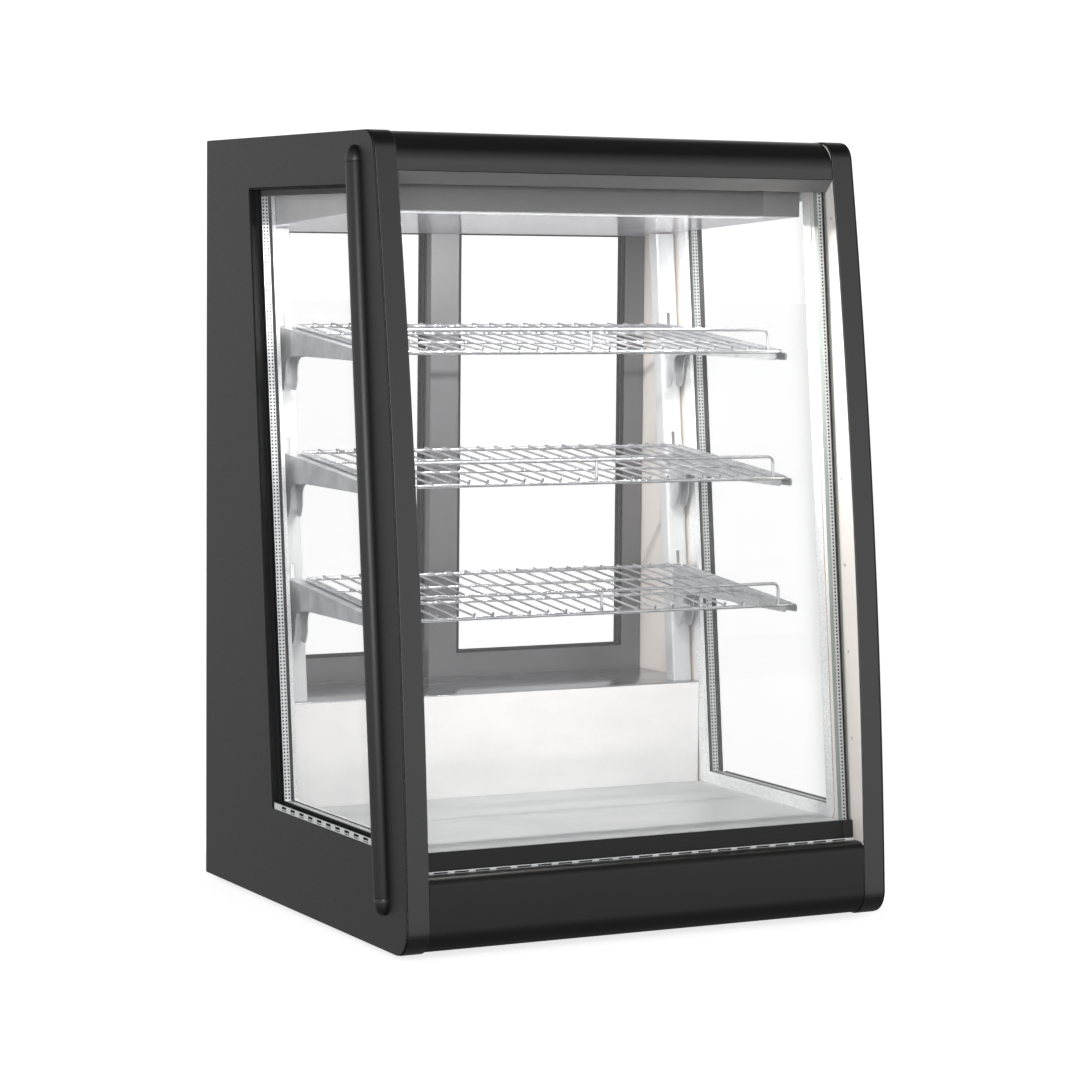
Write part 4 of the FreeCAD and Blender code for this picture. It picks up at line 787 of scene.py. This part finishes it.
deck = rounded([(-236.5, 100.0), (-236.5, 109.0), (91.8, 109.0), (91.8, 100.0), (90.3, 100.0),
                (90.3, 107.0), (-235.0, 107.0), (-235.0, 100.0)], [0.3, 2.2, 1.2, 0.3, 0.3, 0.4, 1.0, 0.3], 4)
make_piece("display_floor", [bar(deck, -LINER_X, LINER_X)], [DECK], nodes=["deck_plate"],
           bevel=0.2, sharp=60)
make_piece("riser_front_sheet", [block(-LINER_X, LINER_X, 92.0, 94.0, 100.0, 230.4)], [WHITE_PANEL],
           nodes=["riser_panel"], bevel=0.4)
ledge = rounded([(92.0, 230.5), (239.8, 230.5), (239.8, 232.0), (92.0, 232.0)], [0.3, 0.3, 0.3, 0.7], 3)
make_piece("riser_top_sheet", [bar(ledge, -LINER_X, LINER_X)], [BRUSHED], nodes=["riser_ledge"],
           bevel=0.2, sharp=60)


def door_shells(x0, x1, y0, meeting_left):
    """Sliding door frame: a rectangular ring with small outer radii, glazing beads front and
    back, and a boxed finger pull in the jamb stile. Rings are rows of outlines joined along Y."""
    left, right = STILES[meeting_left]
    outer = [(x0, DOOR_Z[0]), (x1, DOOR_Z[0]), (x1, DOOR_Z[1]), (x0, DOOR_Z[1])]
    low, high = DOOR_GLASS_Z
    inner = [(x0 + left, low), (x1 - right, low), (x1 - right, high), (x0 + left, high)]

    def shrunk(loop, d):
        p = np.array(loop, float)
        return p + np.sign(p.mean(0) - p) * d

    pull_x = x1 - 14.0 if meeting_left else x0 + 14.0
    cup = plate_outline(pull_x, 515.0, 6.9, 44.9, 6.5, 6)
    rim = plate_outline(pull_x, 515.0, 8.2, 46.2, 7.8, 6)
    shells = [(*sleeve(outer, inner, y0 + 0.1, y0 + 13.9), 0)]
    for ya, yb in ((y0 - 0.2, y0 + 4.4), (y0 + 9.6, y0 + 14.2)):
        shells.append((*sleeve(shrunk(inner, -0.6), shrunk(inner, 2.6), ya, yb), 1))
    shells.append((*sleeve(rim, cup, y0 + 14.0, y0 + 14.5), 2))
    points, faces = cross_bar(cup, y0 + 13.9, y0 + 14.1)
    shells.append((points, faces, 3))
    return shells


for word, x0, x1, y0, meeting_left in DOORS:
    make_piece(word + "_door_profile", door_shells(x0, x1, y0, meeting_left),
               [DOOR, RUBBER_AND_VENT_SHADE, ZINC, ABS_BLACK], body=word + "_door", nodes=[word + "_door_frame"],
               bevel=0.6, steps=2)
    left, right = STILES[meeting_left]
    points, faces = block(x0 + left + 0.3, x1 - right - 0.3, y0 + 4.5, y0 + 9.5,
                          DOOR_GLASS_Z[0] + 0.3, DOOR_GLASS_Z[1] - 0.3)
    make_piece(word + "_door_glass", [(points, faces, [1, 0, 1, 0, 1, 1])], [GLASS, GLASS_EDGE],
               body=word + "_door", nodes=[word + "_door_pane"], bevel=0.4, steps=1)


def track_shells(z0, z1, floor, y0, y1):
    """Channel with two grooves for the doors, as one comb-shaped profile."""
    grooves = [(243.4, 258.6), (261.4, 276.6)]
    opens_down = floor > (z0 + z1) / 2
    a, b = (z0, z1) if opens_down else (z1, z0)
    pts = [(y0, b), (y0, a)]
    for g0, g1 in grooves:
        pts += [(g0, a), (g0, floor), (g1, floor), (g1, a)]
    return pts + [(y1, a), (y1, b)]


head = track_shells(778.0, 809.0, 806.0, 240.0, 282.0)
head = head[:-1] + [(282.0, 880.4), (279.0, 880.4), (279.0, 809.0)]
make_piece("door_head_channel", [bar(head, -INNER_X + 0.1, INNER_X - 0.1)], [DOOR], nodes=["door_header"],
           bevel=0.4)
sill = track_shells(214.0, 232.0, 226.0, 240.0, 282.0)
make_piece("door_sill_channel", [bar(sill, -LINER_X, LINER_X)], [DOOR], nodes=["door_sill"],
           bevel=0.4)

# ---------------------------------------------------------------- shelving

def shelf_line(level):
    """Front wire's y and z: shelves step along the raked uprights."""
    return SHELF_Y + level * SHELF_PITCH * SLOPE, SHELF_Z + level * SHELF_PITCH


def root(level):
    """Where a bracket's top edge meets the upright."""
    z = shelf_line(level)[1] + (SHELF_DEPTH + 24) * SHELF_FALL - 2.55
    return raked(UPRIGHT_Y, z) - 0.3, z


def upright_shells(side):
    """Folded U-channel: a front face punched with a hook slot at each shelf, and two legs with
    rounded bends that run back from it."""
    x, half, depth, t = side * UPRIGHT_X, 12.5, 18.0, 1.5
    z0, z1 = LEDGE_Z, 777.5
    us = np.array([-half + 1.8, -2.2, 2.2, half - 1.8])
    vs, keep = [z0], []
    for level in (-1, 0, 1):
        z = root(level)[1]
        for a, b in ((z - 40, z - 31), (z - 27, z - 4), (z, z + 16)):
            vs += [a, b]
            keep += [True, False]
    vs.append(z1)
    keep.append(True)
    mask = np.ones((3, len(keep)), bool)
    mask[1] = keep
    front = holed_plate(us, vs, mask, t, lambda u, v, w: (x + u, raked(UPRIGHT_Y, v) + w, v))
    legs = []
    for s in (-1, 1):
        bend = arc(s * (half - 1.8), 1.8, 1.8, 270, 270 + s * 90, 6)
        inner = arc(s * (half - 1.8), 1.8, 0.3, 270 + s * 90, 270, 4)
        profile = np.vstack([bend, [(s * half, depth), (s * (half - t), depth)], inner])
        legs.append(leaning_bar(profile + (x, 0), z0, z1, UPRIGHT_Y))
    tabs = []
    for level in (-1, 0, 1):
        z = root(level)[1] - 92
        y = raked(UPRIGHT_Y, z)
        edge = x + side * half
        tabs.append(block(edge - 0.2, edge + side * 1.6, y + 3, y + 13, z - 8, z + 8))
    return [front, *legs, *tabs]


for side, word in ((-1, "left"), (1, "right")):
    make_piece(word + "_slotted_upright", upright_shells(side), [UPRIGHT], nodes=[word + "_upright"],
               bevel=0.3)


def bracket_shells(side, level):
    """Stamped cantilever bracket: two cheeks with a rounded outline, a top web between them, a
    plate with a slit against the upright, and a hook."""
    x = side * UPRIGHT_X
    y_root, z_root = root(level)
    y_tip = shelf_line(level)[0] + 12

    def fall(y):
        """Height of the bracket's top edge, which slopes as the shelf does."""
        return shelf_line(level)[1] + (y - shelf_line(level)[0]) * SHELF_FALL - 2.55

    foot = z_root - 75.0
    y_foot = raked(UPRIGHT_Y, foot) - 0.3
    corners = [(y_root, z_root), (y_tip, fall(y_tip)), (y_tip, fall(y_tip) - 9), (y_root - 62, z_root - 33),
               (y_root - 26, z_root - 36), (y_foot - 17, foot + 14), (y_foot - 11, foot),
               (y_foot, foot + 2)]
    cheek = rounded(corners, [0.8, 3.5, 4.0, 14.0, 12.0, 9.0, 5.0, 1.5], 6)
    shells = [bar(cheek, x - 8, x - 6.5), bar(cheek, x + 6.5, x + 8)]
    y_web = y_tip + 2
    web = [(y_root, z_root), (y_web, fall(y_web)), (y_web, fall(y_web) - 1.5), (y_root, z_root - 1.5)]
    shells.append(bar(web, x - 7, x + 7))
    keep = np.ones((3, 3), bool)
    keep[1, 1] = False
    shells.append(holed_plate([-7, -1.6, 1.6, 7], [foot + 8, foot + 20, z_root - 34, z_root - 1], keep, 1.5,
                              lambda u, v, w: (x + u, raked(UPRIGHT_Y, v) - 0.3 - w, v)))
    hooks = [(y_root - 1, z_root - 5), (y_root + 4.6, z_root - 5), (y_root + 2.6, z_root - 26),
             (y_root - 2.2, z_root - 26)]
    shells.append(bar(rounded(hooks, [0.3, 1.5, 2.0, 0.3], 4), x - 1.5, x + 1.5))
    return shells


def shelf_shells(level):
    """Welded wire shelf: a frame wire bent round its corners, inner side wires, two bearers,
    cross wires with turned-up front ends, and a bent guard rod on posts. Every wire is a tube
    along a path that lies in the sloping plane of the shelf, or stands up from it."""
    y0, z0 = shelf_line(level)
    y1 = y0 + SHELF_DEPTH

    def at(x, y, lift=0.0):
        x, y = np.broadcast_arrays(np.array(x, float), np.array(y, float))
        return np.stack([x, y, z0 + (y - y0) * SHELF_FALL + lift], -1)

    x = SHELF_X
    rim = rounded(at([-x, x, x, -x], [y0, y0, y1, y1]), 6.0, 6)
    shells = [tube(rim, 2.2, (0, -SHELF_FALL, 1), 12, True)]
    for s in (-1, 1):
        shells.append(tube(at([s * (x - 7.5)] * 2, [y0 + 2, y1 - 2]), 1.5, (0, -SHELF_FALL, 1), 10))
    for part in (0.36, 0.7):
        y = y0 + part * SHELF_DEPTH
        shells.append(tube(at([-x, x], [y, y]), 1.6, (0, -SHELF_FALL, 1), 10))
    for wire in -x + 2 * x * np.arange(1, 22) / 22:
        path = at([wire] * 3, [y1 + 1, y0 - 0.6, y0 - 1.6], np.array([2.8, 2.8, 6.2]))
        shells.append(tube(rounded(path, 1.6, 3, False), 1.35, (1, 0, 0), 8))
    guard = at([-231, -231, 231, 231], [y0 + 0.4] * 4, np.array([1.0, 25.0, 25.0, 1.0]))
    shells.append(tube(rounded(guard, 7.0, 7, False), 1.9, (0, 1, 0), 12))
    shells.append(tube(at([0, 0], [y0 + 0.4] * 2, np.array([1.0, 24.6])), 1.7, (0, 1, 0), 10))
    return shells


for word, level, body in (("top", 1, "upper_shelf"), ("middle", 0, "mid_shelf"), ("lower", -1, "low_shelf")):
    make_piece(word + "_shelf_brackets", bracket_shells(-1, level) + bracket_shells(1, level), [ZINC],
               nodes=[word + "_brackets"], bevel=0.35, steps=2)
    make_piece(word + "_wire_shelf", shelf_shells(level), [CHROME], body=body, nodes=[word + "_shelf"],
               sharp=60)

# ---------------------------------------------------------------- rear panel

def panel_shells():
    """Rear sheet whose grid lines are the edges of its openings: a cell is open when its middle
    lies in one. Over each louvre slot a pressed hood stands out as a quarter ring."""
    slots = [(*LOUVRE_X, LOUVRE_Z + 15 * i, LOUVRE_Z + 15 * i + 6) for i in range(LOUVRES)]
    for (x, z), half_w, half_h in ((CONTROL, 37.2, 16.2), (SWITCH, 10.2, 15.2), (INLET, 15.2, 11.2)):
        slots.append((x - half_w, x + half_w, z - half_h, z + half_h))
    holes = np.array(slots)
    us = np.unique(np.r_[holes[:, :2].ravel(), -LINER_X, LINER_X])
    vs = np.unique(np.r_[holes[:, 2:].ravel(), PANEL_Z])
    u, v = (us[1:] + us[:-1])[:, None, None] / 2, (vs[1:] + vs[:-1])[None, :, None] / 2
    keep = ~((holes[:, 0] < u) & (u < holes[:, 1]) & (holes[:, 2] < v) & (v < holes[:, 3])).any(-1)
    shells = [holed_plate(us, vs, keep, 1.5, lambda a, b, w: (a, PANEL_Y - w, b))]
    for x0, x1, low, high in slots[:LOUVRES]:
        centre = PANEL_Y - 1.2, high - 2.6
        hood = np.vstack([arc(*centre, 3.6, 90, 8, 7), arc(*centre, 2.8, 8, 90, 7)])
        shells.append(bar(hood, x0 - 1.5, x1 + 1.5))
    return shells


make_piece("rear_service_sheet", panel_shells(), [GRAPHITE], nodes=["service_panel"],
           bevel=0.2, steps=1)

# controller: a bezel in three parts, round its window and round each key, on a boxed body
box_x, box_z = CONTROL
face = PANEL_Y + 0.05, PANEL_Y + 1.95
first, split, middle, last = box_x - 40.9, box_x + 13.0, sum(KEY_X) / 2, box_x + 40.9
left_plate = plate_outline((first + split) / 2, box_z, (split - first) / 2, 19.9, [4.0, 0.2, 0.2, 4.0])
window = plate_outline(box_x - 12.0, box_z, 22.0, 12.0, 1.5)
smoked = plate_outline(box_x - 12.0, box_z, 21.9, 11.9, 1.5)
body = block(box_x - 36.9, split, PANEL_Y - 59.9, PANEL_Y + 0.2, box_z - 15.9, box_z + 15.9)
shells = [(*sleeve(left_plate, window, *face), 0), (*body, 0),
          (*cross_bar(smoked, PANEL_Y + 0.2, PANEL_Y + 1.0), 1)]
for x0, x1, key_x, radii in ((split, middle, KEY_X[0], 0.2), (middle, last, KEY_X[1], [0.2, 4.0, 4.0, 0.2])):
    cell = plate_outline((x0 + x1) / 2, box_z, (x1 - x0) / 2, 19.9, radii)
    shells.append((*pierced(cell, (key_x, box_z), 4.4, *face), 0))
make_piece("temperature_controller", shells, [ABS_BLACK, DISPLAY], nodes=["controller"],
           bevel=0.3, steps=2)
for word, key_x, way in (("up", KEY_X[0], 1), ("down", KEY_X[1], -1)):
    dome = turned([(3.8, 0), (4.0, 0.2), (4.0, 6.7), (3.8, 7.1), (3.2, 7.3)], (key_x, 277.1, box_z),
                  (0, 1, 0), 32)
    triangle = [(key_x - 1.5, box_z - way), (key_x + 1.5, box_z - way), (key_x, box_z + way * 1.4)]
    make_piece(word + "_key", [(*dome, 0), (*cross_bar(triangle, 284.3, 284.5), 1)], [KEY, RUBBER_AND_VENT_SHADE],
               body=word + "_key", nodes=[word + "_button"])

pads = [turned([(17.8, 0), (18.9, 1.0), (18.6, 2.2), (16.3, 7.9)], (x, y, 0), (0, 0, 1), 40)
        for x in (-225.0, 225.0) for y in (-185.0, 225.0)]
make_piece("resting_feet", pads, [RUBBER_AND_VENT_SHADE], nodes=["rubber_feet"])

# domed screws with a dark cross painted on each as the shade of its recess, and rivets on the inner faces in
# front of the glass
screw = [(3.2, 0), (3.2, 0.5), (2.7, 1.1), (1.7, 1.5), (0.6, 1.6)]
rivet = [(1.8, 0), (1.7, 0.35), (1.2, 0.7), (0.4, 0.8)]
recess_y = PANEL_Y + 1.0, PANEL_Y + 1.62
fixings = []
for x in (-262.0, -90.0, 150.0, 262.0):
    for z in (20.0, 206.0):
        fixings.append((*turned(screw, (x, PANEL_Y, z), (0, 1, 0), 24), 0))
        # painted shade: a dark cross where the recess would lie in shade
        fixings.append((*block(x - 1.7, x + 1.7, *recess_y, z - 0.35, z + 0.35), 1))
        fixings.append((*block(x - 0.35, x + 0.35, *recess_y, z - 1.7, z + 1.7), 1))
for z in 206.0 + 98.0 * np.arange(7):
    for side, word in SIDES:
        place = (side * INNER_X, raked(GLASS_Y - 9.0, z), z)
        fixings.append((*turned(rivet, place, (-side, 0, 0), 20), 0))
make_piece("screws_and_rivets", fixings, [ZINC, SEALANT_AND_RECESS_SHADE], nodes=["screws"])

# ---------------------------------------------------------------- carried-over pieces

FINISHES = {
    "base_pan": GALVANISED, "compressor": CAN, "condenser_coil": COIL,
    "condenser_fan_shroud": GALVANISED, "condenser_fan_blades": FAN, "evaporator_coil": COIL,
    "evaporator_fan_shroud": FAN, "evaporator_fan_blades": FAN,
    "switch_bezel": ABS_BLACK, "power_rocker": ROCKER, "power_inlet": ABS_BLACK,
}
for node, material in FINISHES.items():
    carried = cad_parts[node]
    carried.data.materials.clear()
    carried.data.materials.append(material)

# ---------------------------------------------------------------- floor, light and camera

def floor_disc():
    """Flat round floor: rings of growing radius round the object, in polar steps."""
    turns = np.linspace(0, 2 * np.pi, 48, endpoint=False)
    r, a = np.meshgrid([0.0001, 1.0, 4.0, 14.0, 60.0], turns, indexing="ij")
    points = np.stack([r * np.cos(a), r * np.sin(a), np.zeros_like(r)], -1).reshape(-1, 3)
    mesh = bpy.data.meshes.new("studio_floor")
    mesh.from_pydata(points.tolist(), [], grid_faces(5, 48, False, True)[:, ::-1].tolist())
    floor = bpy.data.objects.new("studio_floor", mesh)
    bpy.context.scene.collection.objects.link(floor)
    material, tree, shader = new_material("matt_white_studio_floor")
    where = add_node(tree, "ShaderNodeTexCoord")
    soft = add_node(tree, "ShaderNodeTexNoise", {"Scale": 1.5, "Detail": 1.0},
                    {"Vector": where.outputs["Object"]})
    shades = {"data_type": "RGBA", 6: linear("#f6f6f6"), 7: linear("#fafafa")}
    tone = add_node(tree, "ShaderNodeMix", shades, {0: soft.outputs[0]})
    tree.links.new(tone.outputs[2], shader.inputs["Base Color"])
    shader.inputs["Roughness"].default_value = 0.9
    shader.inputs["Specular IOR Level"].default_value = 0.1
    shader.inputs["Emission Color"].default_value = (1.0, 1.0, 1.0, 1.0)
    shader.inputs["Emission Strength"].default_value = 0.75
    mesh.materials.append(material)
    floor.visible_glossy = False
    floor.visible_diffuse = False


def studio_world():
    """Plain white backdrop. What lights the case is a soft white band round the horizon that
    falls off overhead and towards the floor, by two ramps on the height of the direction, and
    behind the case, by a ramp on how far the direction points to the rear."""
    world = bpy.data.worlds.new("studio")
    bpy.context.scene.world = world
    world.use_nodes = True
    tree = world.node_tree
    where = add_node(tree, "ShaderNodeTexCoord")
    parts = add_node(tree, "ShaderNodeSeparateXYZ", {}, {0: where.outputs["Generated"]})
    high = add_node(tree, "ShaderNodeMapRange", {1: 0.15, 2: 0.75, 3: 1.0, 4: 0.08},
                    {0: parts.outputs["Z"]})
    low = add_node(tree, "ShaderNodeMapRange", {1: -0.5, 2: 0.0, 3: 0.15, 4: 1.0}, {0: parts.outputs["Z"]})
    rear = add_node(tree, "ShaderNodeMapRange", {1: 0.2, 2: 0.95, 3: 1.0, 4: 0.6}, {0: parts.outputs["Y"]})
    level = add_node(tree, "ShaderNodeMath", {"operation": "MULTIPLY"},
                     {0: high.outputs[0], 1: low.outputs[0]})
    band = add_node(tree, "ShaderNodeMath", {"operation": "MULTIPLY"},
                    {0: level.outputs[0], 1: rear.outputs[0]})
    path = add_node(tree, "ShaderNodeLightPath")
    shown = add_node(tree, "ShaderNodeMath", {"operation": "MAXIMUM"},
                     {0: band.outputs[0], 1: path.outputs["Is Camera Ray"]})
    strength = add_node(tree, "ShaderNodeMath", {"operation": "MULTIPLY", 1: 1.15}, {0: shown.outputs[0]})
    back = tree.nodes["Background"]
    back.inputs["Color"].default_value = (1.0, 1.0, 1.0, 1.0)
    tree.links.new(strength.outputs[0], back.inputs["Strength"])


def area_light(name, at, aim, size, power, colour=(1, 1, 1)):
    """Soft rectangular light at a place, turned to a point, sizes in metres."""
    lamp = bpy.data.lights.new(name, "AREA")
    lamp.shape = "RECTANGLE"
    lamp.size, lamp.size_y = size
    lamp.energy = power
    lamp.color = colour
    holder = bpy.data.objects.new(name, lamp)
    bpy.context.scene.collection.objects.link(holder)
    holder.visible_camera = False
    holder.location = at
    holder.rotation_euler = (Vector(aim) - Vector(at)).to_track_quat("-Z", "Y").to_euler()
    return holder


def set_camera():
    """Camera at the customer's left, a little above the middle of the case."""
    yaw, pitch, roll = map(math.radians, (27.404, -4.736, 0.543))
    ahead = Vector((math.sin(yaw) * math.cos(pitch), math.cos(yaw) * math.cos(pitch), math.sin(pitch)))
    right = Vector((math.cos(yaw), -math.sin(yaw), 0))
    up = right.cross(ahead)
    level_right = right * math.cos(roll) + up * math.sin(roll)
    level_up = up * math.cos(roll) - right * math.sin(roll)
    lens = bpy.data.cameras.new("camera")
    lens.lens = 112.10
    lens.sensor_width = 36.0
    lens.clip_end = 200.0
    camera = bpy.data.objects.new("camera", lens)
    bpy.context.scene.collection.objects.link(camera)
    turn = Matrix((level_right, level_up, -ahead)).transposed().to_4x4()
    camera.matrix_world = Matrix.Translation(Vector((-1791.5, -3462.3, 741.5)) / 1000) @ turn
    bpy.context.scene.camera = camera


floor_disc()
studio_world()
area_light("front_left_softbox", (-1.7, -2.6, 1.1), (-0.1, -0.2, 0.42), (1.4, 1.8), 26)
area_light("case_strip_lamp", (0.0, -0.098, 0.79), (0.0, -0.06, 0.1), (0.46, 0.024), 6.0,
           (1.0, 0.985, 0.96))
bpy.context.scene.view_settings.view_transform = "Standard"
set_camera()
